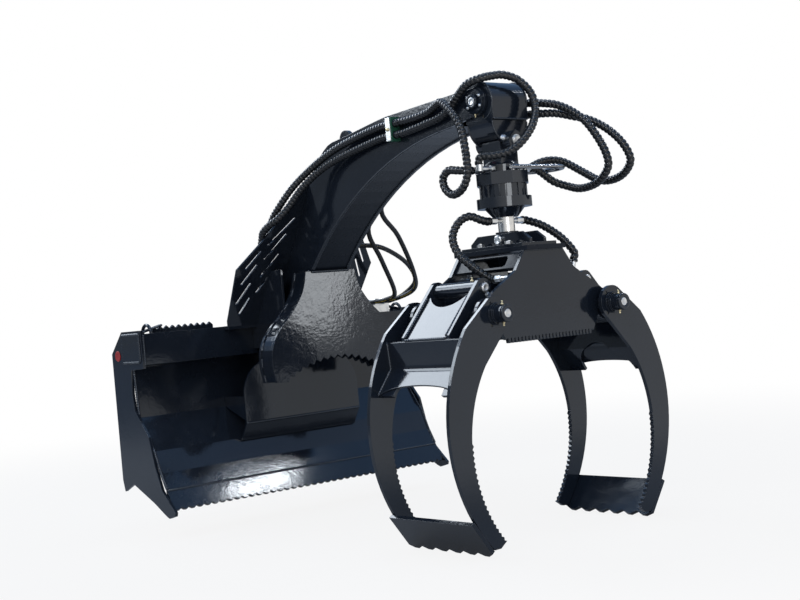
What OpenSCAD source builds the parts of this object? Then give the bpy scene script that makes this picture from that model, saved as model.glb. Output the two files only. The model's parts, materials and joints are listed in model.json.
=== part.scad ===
// Log grapple with blade, boom, cross link, rotator and two tongs, for a skid-steer quick-attach plate.
// Frame: X across the blade, -Y forward along the boom, +Z up, origin at the quick-attach face centre.

/* [Blade] */
// Width over the two side plates
blade_w = 1450; // [1250:10:1800]
// Distance from the quick-attach face to the front of the top tube
blade_d = 250; // [200:5:320]
// Height from the top of the tube to the lowest blade tip
blade_h = 740; // [620:10:900]
// Thickness of the side plates
side_t = 12; // [8:1:20]
// Thickness of the moldboard
board_t = 8; // [6:1:12]
// Depth of the top tube
tube_d = 150; // [120:5:180]
// Height of the top tube
tube_h = 125; // [100:5:150]
// Wall of the top tube
tube_wall = 8; // [5:1:12]
// Height of the cutting edge strip
edge_h = 90; // [60:5:120]
// Thickness of the cutting edge strip
edge_t = 12; // [8:1:20]
// Pitch of the scallops on the cutting edge
scallop_pitch = 35; // [25:1:60]
// Depth of the scallops on the cutting edge
scallop_h = 11; // [6:1:16]
// Pitch of the teeth on the top rail
rail_pitch = 30; // [20:1:50]
// Height of the teeth on the top rail
rail_tooth_h = 13; // [8:1:18]

/* [Quick attach] */
// Width of the quick-attach plate
qa_w = 1140; // [1000:10:1200]
// Height of the quick-attach plate
qa_h = 460; // [400:10:500]
// Thickness of the quick-attach plate
qa_t = 10; // [8:1:16]
// Centre of the plate below the top of the tube
qa_drop = 300; // [260:5:340]
// Distance between the two wedge slots
slot_spacing = 865; // [700:5:900]
// Length of a wedge slot
slot_len = 65; // [50:1:80]
// Width of a wedge slot
slot_w = 30; // [20:1:36]
// Depth of the bottom flange that holds the slots
flange_d = 52; // [46:1:70]

/* [Boom] */
// Distance from the front of the tube to the hanging axis of the grapple
reach = 1415; // [1200:5:1700]
// Height of the upper link pin above the top of the tube
head_rise = 715; // [600:5:850]
// Width over the boom side plates
boom_w = 200; // [170:2:240]
// Thickness of the boom side plates
boom_t = 12; // [8:1:16]
// Thickness of the boom top, belly and guard plates
skin_t = 8; // [6:1:12]
// Radius of the boom head round the upper link pin
head_r = 50; // [44:1:60]
// Half width of the louvred guard at its foot
guard_foot = 325; // [280:5:360]
// Width of a louvre slot
louvre_w = 9; // [6:1:14]
// Width of the bell plate under the boom
bell_w = 660; // [560:10:760]
// Height of the bell plate
bell_h = 440; // [380:10:500]
// Depth of the bell box
bell_d = 96; // [70:2:120]
// Pitch of the teeth along the bell's arch
arch_pitch = 37; // [25:1:50]
// Height of the teeth along the bell's arch
arch_tooth_h = 15; // [8:1:20]
// Width of the apron below the bell
apron_w = 600; // [500:10:680]

/* [Link and rotator] */
// Diameter of the link, tong and cylinder pins
pin_d = 40; // [34:1:44]
// Distance between the two link pins
link_drop = 147; // [140:1:165]
// Width of the cross link between the boom plates
link_w = 172; // [140:2:172]
// Radius of the cross link's hood round the upper pin
hood_r = 70; // [60:1:80]
// Diameter of the rotator's lower ring
ring_d = 197; // [180:1:220]
// Diameter of the rotator shaft
shaft_d = 60; // [50:1:64]
// Diameter of the hose guard bar
hoop_bar = 16; // [10:1:20]

/* [Grapple] */
// Distance between the two tong pins
pin_span = 578; // [520:2:640]
// Distance between the centres of the front and rear body plates
body_gap = 330; // [300:2:360]
// Distance between the centres of the front and rear tong plates
tong_gap = 410; // [390:2:450]
// Thickness of body and tong plates
plate_t = 15; // [10:1:18]
// Distance from the tong pins down to the tips
tong_drop = 768; // [650:4:900]
// Drop at which the tongs' radii and centres below were drawn
tong_drawn = 768;
// Radius of the outer edge of a tong
tong_outer_r = 578; // [540:2:620]
// Centre of the outer edge, from below the grapple's axis at the pins' height
outer_c = [-34, -378];
// Radius of the inner edge of a tong
tong_inner_r = 473; // [440:2:500]
// Centre of the inner edge
inner_c = [-21, -445];
// Pitch of the teeth along the tongs and the body's lower edge
bite_pitch = 17; // [12:1:30]
// Depth of these teeth
bite_h = 6; // [3:1:9]
// Number of points on a tip blade
tip_points = 6; // [4:1:8]
// Outer diameter of the cylinder
cyl_d = 76; // [64:1:84]
// Diameter of the cylinder rod
rod_d = 36; // [28:1:45]
// Outer diameter of the guarded hoses
hose_d = 30; // [24:1:34]

/* [Hidden] */

paint = [0.05, 0.055, 0.065];
steel = [0.72, 0.73, 0.74];
zinc = [0.78, 0.78, 0.76];
brass = [0.75, 0.6, 0.3];
hose_black = [0.04, 0.04, 0.045];

// Overrun of a cut past the face it goes through
cut = 1;
// Play between plates that are welded with a root gap
root_gap = 0.2;
// Radial running clearance of a pin in its bore
run = 0.05;
// Axial play beside a hub that turns
side_play = 1;
// Facets of a round
fine = 48;
coarse = 24;

// Small helpers
function rev(v) = [for (i = [len(v) - 1 : -1 : 0]) v[i]];
function flip(v) = [for (p = rev(v)) [-p[0], p[1]]];
function unit(v) = v / norm(v);
function perp(v) = [-v[1], v[0]];
function along(v, i) = unit(v[min(i + 1, len(v) - 1)] - v[max(i - 1, 0)]);
// Points of v moved sideways by d, mitred
function sidestep(v, d) = [for (i = [0 : len(v) - 1])
    let (a = i > 0 ? unit(v[i] - v[i - 1]) : unit(v[1] - v[0]),
         b = i < len(v) - 1 ? unit(v[i + 1] - v[i]) : a,
         m = unit(perp(a) + perp(b)))
    v[i] + m * d / (m * perp(a))];
function strip(v, d) = concat(v, rev(sidestep(v, d)));
// Arc from angle a to angle b about c
function arc(c, r, a, b, n) = [for (i = [0 : n]) c + r * [cos(a + (b - a) * i / n), sin(a + (b - a) * i / n)]];
// Circle through three points, and the arc along it from p to r
function centre3(p, q, r) = let (
    d = 2 * (p[0] * (q[1] - r[1]) + q[0] * (r[1] - p[1]) + r[0] * (p[1] - q[1])))
    [((p * p) * (q[1] - r[1]) + (q * q) * (r[1] - p[1]) + (r * r) * (p[1] - q[1])) / d,
     ((p * p) * (r[0] - q[0]) + (q * q) * (p[0] - r[0]) + (r * r) * (q[0] - p[0])) / d];
function bearing(c, p) = atan2(p[1] - c[1], p[0] - c[0]);
function turn(a, b) = b - a > 180 ? b - a - 360 : b - a < -180 ? b - a + 360 : b - a;
function arc3(p, q, r, n) = let (c = centre3(p, q, r), a = bearing(c, p))
    arc(c, norm(p - c), a, a + turn(a, bearing(c, r)), n);
// Smooth curve through the points of v, n steps between two points
function blend_at(a, b, c, d, t) = 0.5 * (2 * b + (c - a) * t + (2 * a - 5 * b + 4 * c - d) * t * t
    + (3 * b - a - 3 * c + d) * t * t * t);
function smooth(v, n) = concat([for (i = [0 : len(v) - 2], k = [0 : n - 1])
    blend_at(v[max(i - 1, 0)], v[i], v[i + 1], v[min(i + 2, len(v) - 1)], k / n)], [v[len(v) - 1]]);
// Saw teeth between p and q, standing out by h to the left of the way from p to q
function saw(p, q, pitch, h) = let (
    n = max(1, round(norm(q - p) / pitch)), s = (q - p) / n, o = h * perp(unit(q - p)))
    [for (i = [0 : n - 1], k = [0, 1]) k == 0 ? p + s * i : p + s * (i + 0.5) + o];
// Saw teeth along the points of v
function saw_path(v, pitch, h) = [for (i = [0 : len(v) - 2]) each saw(v[i], v[i + 1], pitch, h)];
// Length of a path
function path_len(v, i = 1) = i >= len(v) ? 0 : norm(v[i] - v[i - 1]) + path_len(v, i + 1);

module plate_yz(pts, x, t) translate([x, 0, 0]) rotate([90, 0, 90]) linear_extrude(t) polygon(pts);
module plate_xz(pts, y, t) translate([0, y + t, 0]) rotate([90, 0, 0]) linear_extrude(t) polygon(pts);
module rod_x(r, l, n = fine) rotate([0, 90, 0]) cylinder(r = r, h = l, center = true, $fn = n);
module rod_y(r, l, n = fine) rotate([90, 0, 0]) cylinder(r = r, h = l, center = true, $fn = n);
module hex_bolt(d, head_h) {
    cylinder(d = d * hex_share, h = head_h, $fn = 6);
    translate([0, 0, head_h]) cylinder(d = d, h = head_h * stub_share, $fn = coarse);
}
// Width over corners of a hexagon and the stub above it, as shares of the bolt
hex_share = 1.9;
stub_share = 0.3;

// Blade
board_w = blade_w - 2 * side_t;
tube_front = -blade_d;
tube_top = qa_drop;
// Points of the blade's section: share of blade_d behind the tube front, share of blade_h below the tube top
function on_blade(s) = [tube_front + s[0] * blade_d, tube_top - s[1] * blade_h];
board_shares = [[0.40, 0.176], [0.34, 0.46], [-0.05, 0.643], [-0.20, 0.762], [-0.54, 0.955]];
side_shares = [[-0.02, -0.02], [0.62, -0.02], [1.0, 0.10], [1.0, 0.81], [0.95, 0.875], [0.64, 0.83], [0.0, 0.925],
    [-0.36, 0.99], [-0.44, 1.0], [-0.62, 0.985], [-0.64, 0.965], [-0.28, 0.855], [-0.12, 0.73], [0.01, 0.565],
    [0.38, 0.42], [0.42, 0.33], [0.40, 0.195], [-0.02, 0.19]];
board_pts = [for (s = board_shares) on_blade(s)];
board_toe = board_pts[4];
board_last = board_pts[3];
board_dir = unit(board_toe - board_last);
// The moldboard stops where the cutting edge strip begins
board_stop = board_toe - board_dir * edge_h;
edge_angle = atan2(-board_dir[1], -board_dir[0]);
board_drop = [tube_front + board_shares[0][0] * blade_d, tube_top - tube_h - root_gap];

module side_plate() plate_yz([for (s = side_shares) on_blade(s)], 0, side_t);

module side_plate_left() color(paint) {
    translate([-blade_w / 2, 0, 0]) side_plate();
    translate([-blade_w / 2 - cap_t, 0, 0]) tube_cap();
}
module side_plate_right() color(paint) {
    translate([blade_w / 2 - side_t, 0, 0]) side_plate();
    translate([blade_w / 2, 0, 0]) tube_cap();
}

// Square plate welded over the tube's end on the side plate
cap_t = 5;
cap_edge = 12;
module tube_cap() translate([0, tube_front + cap_edge, tube_top - tube_h + cap_edge])
    cube([cap_t, tube_d - cap_edge, tube_h - cap_edge]);

module top_tube() color(paint) difference() {
    translate([-board_w / 2, tube_front, tube_top - tube_h]) cube([board_w, tube_d, tube_h]);
    translate([-board_w / 2 - cut, tube_front + tube_wall, tube_top - tube_h + tube_wall])
        cube([board_w + 2 * cut, tube_d - 2 * tube_wall, tube_h - 2 * tube_wall]);
}

module moldboard() color(paint)
    plate_yz(strip([board_drop, board_pts[1], board_pts[2], board_pts[3], board_stop], board_t),
        -board_w / 2, board_w);

// Strip with a scalloped lower edge that carries on the moldboard's last facet
scallop_shares = [[0, 0], [0.12, 0.55], [0.3, 0.92], [0.5, 1], [0.7, 0.92], [0.88, 0.55]];
module cutting_edge() color(paint) {
    n = floor(board_w / scallop_pitch);
    p = board_w / n;
    toe = [for (i = [0 : n - 1], s = scallop_shares) [(i + s[0]) * p, -s[1] * scallop_h]];
    outline = concat([[0, edge_h - scallop_h - root_gap]], toe,
        [[board_w, 0], [board_w, edge_h - scallop_h - root_gap]]);
    translate([-board_w / 2, board_toe[0], board_toe[1]])
        rotate([edge_angle, 0, 0]) rotate([90, 0, 90]) rotate([0, 0, 0])
        translate([scallop_h, -edge_t, 0]) edge_profile(outline);
}
// The outline lies in the facet: its height runs up the facet and its width along X
module edge_profile(outline) multmatrix([[0, 1, 0, 0], [0, 0, 1, 0], [1, 0, 0, 0], [0, 0, 0, 1]])
    linear_extrude(edge_t) polygon(outline);

// Toothed rails on the tube, outside the guard
rail_t = 10;
rail_base = 14;
rail_setback = 70;
rail_end = 80;
module rail_piece(x0, x1) plate_xz(concat([[x0, 0]], [[x1, 0]], [[x1, rail_base]],
        saw([x1, rail_base], [x0, rail_base], rail_pitch, -rail_tooth_h), [[x0, rail_base]]), 0, rail_t);
module top_rail() color(paint) translate([0, tube_front + rail_setback, tube_top]) {
    rail_piece(-board_w / 2 + rail_end, -guard_foot - rail_t);
    rail_piece(guard_foot + rail_t, board_w / 2 - rail_end);
}

// Quick-attach plate with its hook lip and slotted flange
lip_reach = 38;
lip_h = 38;
lip_t = 12;
flange_t = 14;
relief_t = 3;
relief_h = 56;
module quick_attach_plate() color(paint) difference() {
    union() {
        translate([-qa_w / 2, -qa_t, -qa_h / 2]) cube([qa_w, qa_t, qa_h]);
        // hook lip: an inverted V over the loader's top edge
        plate_yz([[0, qa_h / 2], [-qa_t, qa_h / 2], [-qa_t, qa_h / 2 + lip_t], [0, qa_h / 2 + lip_t],
            [lip_reach, qa_h / 2 + lip_t - lip_h], [lip_reach, qa_h / 2 - lip_h - lip_t / 2],
            [lip_reach - lip_t / 2, qa_h / 2 - lip_h - lip_t / 2]], -qa_w / 2, qa_w);
        translate([-qa_w / 2, -qa_t, -qa_h / 2 - flange_t]) cube([qa_w, qa_t + flange_d, flange_t]);
    }
    // relief under the lip
    translate([-qa_w / 2 - cut, -relief_t, qa_h / 2 - relief_h]) cube([qa_w + 2 * cut, relief_t + relief_t / 2, relief_h]);
    for (s = [-1, 1]) translate([s * slot_spacing / 2, flange_d / 2, -qa_h / 2 - flange_t - cut]) {
        for (e = [-1, 1]) translate([e * (slot_len - slot_w) / 2, 0, 0])
            cylinder(d = slot_w, h = flange_t + 2 * cut, $fn = fine);
        translate([-(slot_len - slot_w) / 2, -slot_w / 2, 0])
            cube([slot_len - slot_w, slot_w, flange_t + 2 * cut]);
    }
}

// Vertical ribs between the moldboard and the quick-attach plate
rib_t = 10;
rib_x_shares = [-0.47, -0.16, 0.16, 0.47];
module rear_ribs() color(paint) {
    back = sidestep([board_drop, board_pts[1], board_pts[2], board_pts[3], board_stop], board_t + root_gap);
    foot = back[3] + (back[4] - back[3]) * 0.5;
    outline = concat([[-qa_t - root_gap, tube_top - tube_h - root_gap]],
        [[back[0][0], tube_top - tube_h - root_gap]],
        [back[1], back[2], back[3], foot],
        [[-qa_t - root_gap, -qa_h / 2]]);
    for (s = rib_x_shares) plate_yz(outline, s * qa_w - rib_t / 2, rib_t);
}

// Apron: a folded pan under the bell that closes the foot of the boom
apron_t = 8;
apron_front = tube_front - 73;
apron_top = tube_top - 150;
apron_bend = tube_top - 412;
apron_foot = tube_top - 486;
apron_round = 150;
apron_seat = 5;
apron_fold_y = board_pts[2][0] - apron_t - apron_seat;
module apron() color(paint) {
    // front face with rounded shoulders
    difference() {
        plate_xz(concat(arc([apron_w / 2 - apron_round, apron_top - apron_round], apron_round, 0, 90, 10),
            arc([-apron_w / 2 + apron_round, apron_top - apron_round], apron_round, 90, 180, 10),
            [[-apron_w / 2, apron_bend], [apron_w / 2, apron_bend]]), apron_front, apron_t);
    }
    // lower band folded back to the moldboard
    plate_yz([[apron_front, apron_bend], [apron_fold_y, apron_foot], [apron_fold_y + apron_t, apron_foot],
        [apron_front + apron_t, apron_bend]], -apron_w / 2, apron_w);
    // side returns
    for (s = [-1, 1]) plate_yz([[apron_front + apron_t, apron_top - apron_round],
        [board_pts[1][0] - 3 * root_gap, apron_top - apron_round],
        [board_pts[1][0] - 3 * root_gap, board_pts[1][1]], [apron_front + apron_t, board_pts[2][1] + apron_return_gap]],
        s > 0 ? apron_w / 2 - apron_t : -apron_w / 2, apron_t);
}
apron_return_gap = 75;

// Bell: hourglass plates under the boom with a toothed arch
bell_top = tube_top + 196;
bell_front = tube_front - 347;
bell_plate_t = 12;
bell_shares = [[0.385, 1.0], [0.43, 0.86], [0.50, 0.76], [0.62, 0.645], [0.76, 0.545], [0.90, 0.43],
    [0.985, 0.30], [1.0, 0.15], [0.965, 0.0]];
arch_rise_share = 0.2;
bell_half = smooth([for (s = bell_shares) [s[0] * bell_w / 2, bell_top - bell_h + s[1] * bell_h]], 3);
bell_foot = bell_half[len(bell_half) - 1];
bell_arch = arc3([bell_foot[0] - arch_pitch, bell_foot[1]], [0, bell_foot[1] + arch_rise_share * bell_h],
    [-bell_foot[0] + arch_pitch, bell_foot[1]], 16);
bell_outline = concat(bell_half, saw_path(bell_arch, arch_pitch, arch_tooth_h), flip(bell_half));
module bell_front_plate() color(paint) plate_xz(bell_outline, bell_front, bell_plate_t);
module bell_rear_plate() color(paint)
    plate_xz(bell_outline, bell_front + bell_d - bell_plate_t, bell_plate_t);
strip_t = 10;
module bell_side_strips() color(paint) {
    edge = sidestep(bell_half, -strip_inset);
    for (s = [0, 1]) mirror([s, 0, 0])
        plate_xz(concat(edge, rev(sidestep(bell_half, -strip_inset - strip_t))),
            bell_front + bell_plate_t, bell_d - 2 * bell_plate_t);
}
// How far the strips stand in from the plates' edges
strip_inset = 5;

// Boom
pin1 = [tube_front - reach, tube_top + head_rise];
function on_boom(s) = [tube_front - s[0] * reach, tube_top + s[1] * head_rise];
belly_foot = [bell_front, bell_top + root_gap];
belly_mid = on_boom([0.548, 0.723]);
belly_end = on_boom([0.900, 0.905]);
belly = arc3(belly_foot, belly_mid, belly_end, 14);
back_foot = on_boom([0.027, 0]);
back_top = on_boom([0.279, 0.783]);
boom_top_shares = [[0.318, 0.88], [0.38, 0.965], [0.46, 0.99], [0.62, 1.035], [0.70, 1.045], [0.952, 1.067]];
boom_top = [for (s = boom_top_shares) on_boom(s)];
crown = arc(pin1, head_r, -84, -285, 20);
back_line = concat([back_foot, back_top], smooth(boom_top, 3));
web_gap = 10;
web_step = 40;
guard_drop = 14;
boom_outline = concat(belly, crown, rev(back_line),
    [[back_foot[0], tube_top - guard_drop], [tube_front - root_gap, tube_top - guard_drop],
     [tube_front - root_gap, tube_top - tube_h - root_gap],
     [board_drop[0] - root_gap, tube_top - tube_h - root_gap],
     [board_pts[1][0] - web_gap, board_pts[1][1] + web_gap],
     [apron_front + apron_t + root_gap, board_pts[1][1] + web_gap],
     [apron_front + apron_t + root_gap, apron_top + root_gap],
     [apron_front - web_gap, apron_top + root_gap],
     [bell_front + bell_d + root_gap, apron_top + web_step],
     [bell_front + bell_d + root_gap, belly_foot[1]]]);
module boom_side() difference() {
    plate_yz(boom_outline, -boom_t / 2, boom_t);
    translate([0, pin1[0], pin1[1]]) rod_x(pin_d / 2 + run, boom_t + 2 * cut);
}
boom_x = boom_w / 2 - boom_t / 2;
// Bolted ring round the upper pin on each side plate
boss_ring_r = 44;
boss_ring_t = 8;
module pin_boss() difference() {
    rod_x(boss_ring_r, boss_ring_t);
    rod_x(pin_d / 2 + run, boss_ring_t + 2 * cut);
}
module boom_side_left() color(paint) {
    translate([-boom_x, 0, 0]) boom_side();
    translate([-boom_w / 2 - boss_ring_t / 2, pin1[0], pin1[1]]) pin_boss();
}
module boom_side_right() color(paint) {
    translate([boom_x, 0, 0]) boom_side();
    translate([boom_w / 2 + boss_ring_t / 2, pin1[0], pin1[1]]) pin_boss();
}
inner_w = boom_w - 2 * boom_t;
skin_inset = 4;
module boom_belly_plate() color(paint)
    plate_yz(strip(sidestep(belly, -skin_inset), -skin_t), -inner_w / 2, inner_w);
// The top plate stops short of the link's barrel
top_run = [for (p = back_line) if (p[1] > back_top[1] - cut) p];
module boom_top_plate() color(paint) {
    plate_yz(strip(sidestep(top_run, skin_inset), skin_t), -inner_w / 2, inner_w);
    lifting_lug();
}

// Louvred guard on the boom's back edges
guard_run = norm(back_top - back_foot);
guard_tilt = atan2(back_foot[0] - back_top[0], back_top[1] - back_foot[1]);
guard_shares = [[1.0, -0.012], [1.03, 0.03], [1.09, 0.40], [0.80, 0.60], [0.31, 0.985], [0.31, 1.0]];
louvre_rows = [[0.70, 0.57, 0.30, 0.18], [0.70, 0.47, 0.23, 0.17], [0.70, 0.345, 0.20, 0.155],
    [0.70, 0.235, 0.12, 0.10], [0.95, 0.41, 0.155, 0.115], [0.96, 0.30, 0.155, 0.13],
    [0.965, 0.16, 0.135, 0.14], [0.88, 0.085, 0.085, 0.11]];
module louvre(a, b) {
    t = bearing(a, b);
    polygon(concat(arc(b, louvre_w / 2, t - 90, t + 90, 8), arc(a, louvre_w / 2, t + 90, t + 270, 8)));
}
guard_foot_t = 8;
module louvred_guard() color(paint) {
    translate([0, back_foot[0], back_foot[1]]) rotate([guard_tilt, 0, 0])
    translate([0, root_gap, 0]) rotate([90, 0, 0]) mirror([0, 0, 1]) linear_extrude(skin_t) difference() {
        polygon(concat([for (s = guard_shares) [s[0] * guard_foot, s[1] * guard_run]],
            flip([for (s = guard_shares) [s[0] * guard_foot, s[1] * guard_run]])));
        for (m = [-1, 1], r = louvre_rows)
            louvre([m * r[0] * guard_foot, r[1] * guard_run],
                [m * (r[0] - r[2]) * guard_foot, (r[1] + r[3]) * guard_run]);
    }
    // foot strips back to the tube, either side of the boom
    for (s = [0, 1]) mirror([s, 0, 0]) translate([boom_w / 2 + root_gap, back_foot[0] + guard_foot_t / 4, back_foot[1] - guard_drop])
        cube([guard_foot - boom_w / 2, tube_front - root_gap - back_foot[0] - guard_foot_t / 4, guard_foot_t + guard_drop / 2]);
}

// Gussets between the guard and the bell
gusset_x = 180;
gusset_rise = 215;
gusset_plate_t = 10;
gusset_low = 20;
module guard_gussets() color(paint) {
    rear = bell_front + bell_d + root_gap;
    top = back_foot + (back_top - back_foot) * gusset_rise / (back_top[1] - back_foot[1]);
    pts = [[rear, tube_top - tube_h + gusset_low], [tube_front - root_gap, tube_top - tube_h + gusset_low],
        [tube_front - root_gap, tube_top - guard_drop - root_gap],
        [back_foot[0] - 3 * root_gap, tube_top - guard_drop - root_gap],
        back_foot - [3 * root_gap, 0], top - [3 * root_gap, 0], [rear, top[1]]];
    for (s = [-1, 1]) plate_yz(pts, s * gusset_x - gusset_plate_t / 2, gusset_plate_t);
}

// Rounded lug on the back of the boom
lug_t = 20;
lug_w = 70;
lug_h = 62;
module lifting_lug() {
    base = on_boom([0.38, 0.965]);
    plate_yz([for (p = concat([[-lug_w / 2, -lug_seat], [lug_w / 2, -lug_seat]],
        arc([0, lug_h - lug_w / 2], lug_w / 2, 0, 180, 12))) base + p], -lug_t / 2, lug_t);
}
lug_seat = 14;

// Pins: a shank with a chamfered cap that shows on the outside
module pin_x(l) rod_x(pin_d / 2, l);
module upper_link_pin() color(steel)
    translate([0, pin1[0], pin1[1]]) pin_x(boom_w + 2 * boss_ring_t + 2 * pin_stand);
pin_stand = 10;

// Cross link: a hood bent over the upper pin, two half-round cheeks and a lower pin along the boom
pin2 = [pin1[0], pin1[1] - link_drop];
hood_t = 10;
seam = 69;
cheek_t = 14;
cheek_gap = 96;
cheek_r = link_w / 2;
cheek_c = -0.5 * link_drop;
boss_r = 35;
boss_l = 24;
shell_t = 10;
barrel_r = 36;
cheek_top = seam - cheek_t;
function hood_arch(r) = concat([[-r, -seam]], arc([0, 0], r, 180, 0, 24), [[r, -seam]]);
module cheek() union() {
    plate_xz(concat(arc([0, cheek_c], cheek_r, 180, 360, 24), [[cheek_r, -cheek_top], [-cheek_r, -cheek_top]]),
        0, cheek_t);
    translate([0, 0, -link_drop]) rotate([90, 0, 0]) cylinder(r = boss_r, h = boss_l, $fn = fine);
    translate([0, cheek_t / 2, -link_drop]) rod_y(boss_r, cheek_t);
}
module cross_link() color(paint) translate([0, pin1[0], pin1[1]]) difference() {
    union() {
        rod_x(barrel_r, link_w);
        difference() {
            plate_yz(hood_arch(hood_r), -link_w / 2, link_w);
            plate_yz(concat([[-hood_r + hood_t, -seam - cut]], hood_arch(hood_r - hood_t), [[hood_r - hood_t, -seam - cut]]),
                -link_w / 2 + hood_t, link_w - 2 * hood_t);
        }
        for (s = [0, 1]) mirror([0, s, 0]) translate([0, -cheek_gap / 2 - cheek_t, 0]) cheek();
        // curved walls between the cheeks, open below for the rotator's lug
        for (s = [0, 1]) mirror([s, 0, 0]) plate_xz(concat(
            arc([0, cheek_c], cheek_r, 0, -50, 10), arc([0, cheek_c], cheek_r - shell_t, -50, 0, 10),
            [[cheek_r - shell_t, -cheek_top], [cheek_r, -cheek_top]]), -cheek_gap / 2 - cut, cheek_gap + 2 * cut);
    }
    rod_x(pin_d / 2 + run, link_w + 2 * cut);
    translate([0, 0, -link_drop]) rod_y(pin_d / 2 + run, cheek_gap + 2 * cheek_t + 2 * boss_l + 2 * cut);
}
pin2_front = cheek_gap / 2 + cheek_t + boss_l + pin_stand / 2;
module lower_link_pin() color(steel) translate([0, pin2[0], pin2[1]]) rod_y(pin_d / 2, 2 * pin2_front);

// Rotator: lug and neck, port plate, ribbed body and ring, then the cover cone
lug_r = 42;
neck_d = 92;
z_port = -0.728 * link_drop;
port_h = 43;
ribs_h = 46;
ring_h = 36;
cone_h = 34;
port_w_share = 0.93;
ribs_d_share = 0.87;
cone_top_share = 0.74;
cone_foot_share = 0.45;
rib_count = 12;
module at_pin2() translate([0, pin2[0], pin2[1]]) children();
module rotator_housing() color(paint) at_pin2() difference() {
    union() {
        rod_y(lug_r, neck_d);
        translate([-lug_r, -neck_d / 2, z_port]) cube([2 * lug_r, neck_d, -z_port]);
        translate([0, 0, z_port]) cylinder(d = neck_base_d, h = neck_foot, $fn = fine);
        translate([0, 0, z_port + neck_foot]) cylinder(d1 = neck_base_d, d2 = neck_d, h = neck_flare, $fn = fine);
        // port plate, an octagon, and the ribbed body under it
        translate([0, 0, z_port - port_h]) rotate([0, 0, 22.5])
            cylinder(d = ring_d * port_w_share / cos(22.5), h = port_h, $fn = 8);
        translate([0, 0, z_port - port_h - ribs_h]) cylinder(d = ring_d * ribs_d_share - 2 * rib_h, h = ribs_h, $fn = fine);
        for (i = [0 : rib_count - 1]) rotate([0, 0, i * 360 / rib_count])
            translate([ring_d * ribs_d_share / 2 - rib_w, -rib_w / 2, z_port - port_h - ribs_h])
            cube([rib_w, rib_w, ribs_h]);
        translate([0, 0, z_port - port_h - ribs_h - ring_h]) cylinder(d = ring_d, h = ring_h, $fn = fine);
    }
    rod_y(pin_d / 2 + run, neck_d + 2 * cut);
    // socket for the shaft's bearing
    translate([0, 0, z_port - port_h - ribs_h - ring_h - cut])
        cylinder(d = shaft_d + 2 * run, h = ring_h + ribs_h / 2 + cut, $fn = fine);
}
neck_base_d = 128;
neck_foot = 27;
neck_flare = 14;
rib_w = 18;
rib_h = 5;
z_ring = z_port - port_h - ribs_h - ring_h;
module rotator_cover() color(paint) at_pin2() difference() {
    translate([0, 0, z_ring - cone_h - root_gap])
        cylinder(d1 = ring_d * cone_foot_share, d2 = ring_d * cone_top_share, h = cone_h, $fn = fine);
    translate([0, 0, z_ring - cone_h - root_gap - cut]) cylinder(d = shaft_d + 2 * run, h = cone_h + 2 * cut, $fn = fine);
}
// Horizontal bar that keeps the hoses off the rotator
hoop_reach = 285;
hoop_half = 96;
hoop_z = z_port + 12;
module bar_x(x0, x1) translate([(x0 + x1) / 2, 0, 0]) rod_x(hoop_bar / 2, x1 - x0, coarse);
module hose_hoop() color(paint) at_pin2() translate([0, 0, hoop_z]) {
    for (s = [-1, 1]) translate([0, s * (hoop_half - hoop_bar / 2), 0]) bar_x(-hoop_back, hoop_reach - hoop_half);
    translate([hoop_reach - hoop_half, 0, 0]) rotate([0, 0, -90]) rotate_extrude(angle = 180, $fn = fine)
        translate([hoop_half - hoop_bar / 2, 0]) circle(d = hoop_bar, $fn = coarse);
    // feet on the port plate
    for (s = [-1, 1], x = [-hoop_back + hoop_bar, hoop_foot_x]) translate([x, s * (hoop_half - hoop_bar / 2), -hoop_foot_h])
        translate([0, -s * hoop_bar * foot_in_share, 0]) cylinder(d = hoop_bar, h = hoop_foot_h, $fn = coarse);
}
hoop_back = 40;
hoop_foot_x = 35;
hoop_foot_h = hoop_z - z_port - root_gap;
foot_in_share = 0.4;

// Hydraulic fittings on the neck: a straight one behind and one with an upright elbow in front on the left
fit_d = 24;
fit_l = 30;
fit_neck_share = 0.36;
port_y = 24;
port_up_z = 13;
port_end = 118;
elbow_x = 130;
elbow_h = 14;
// The fittings start at the neck's round foot
port_start = sqrt(pow(neck_base_d / 2, 2) - pow(port_y - fit_d / 2, 2)) + root_gap;
module port_fittings() color(zinc) at_pin2() for (m = [-1, 1], s = [-1, 1]) {
    far = m < 0 && s < 0 ? elbow_x : port_end;
    translate([0, s * port_y, z_port + port_up_z]) {
        translate([m * (port_start + fit_l / 4), 0, 0]) rod_x(fit_d / 2, fit_l / 2, 6);
        translate([m * (port_start + far) / 2, 0, 0]) rod_x(fit_d * fit_neck_share, far - port_start, coarse);
        if (far == port_end) translate([m * (far - fit_l / 2), 0, 0]) rod_x(fit_d / 2, fit_l, 6);
        else translate([m * far, 0, -fit_d * fit_neck_share]) cylinder(d = fit_d, h = elbow_h + fit_d * fit_neck_share, $fn = coarse);
    }
}
plug_r = 8;
plug_l = 5;
module neck_plug() color("firebrick") at_pin2()
    translate([-lug_r - plug_l / 2 - root_gap, 0, z_port * 0.45]) rod_x(plug_r, plug_l, coarse);

// Shaft, collar bracket and grapple body
z_shaft_top = z_ring + ring_h + ribs_h / 2 - side_play;
body_top = tube_top + 190;
base_t = 12;
collar_h = 48;
collar_top = body_top + base_t + root_gap + collar_h;
axis = [0, pin2[0]];
shaft_foot = body_top + root_gap;
module rotor_shaft() color(steel) difference() {
    translate([0, axis[1], shaft_foot]) cylinder(d = shaft_d, h = pin2[1] + z_shaft_top - shaft_foot, $fn = fine);
    translate([0, axis[1], head_pin_z]) rod_x(head_pin_d / 2 + run, shaft_d + 2 * cut);
}
head_pin_d = 24;
head_pin_z = body_top + base_t + 20;
collar_d = 82;
base_w = 170;
base_d = 310;
gusset_t = 12;
gusset_foot = 150;
gusset_head = 112;
gusset_lip = 14;
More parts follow.
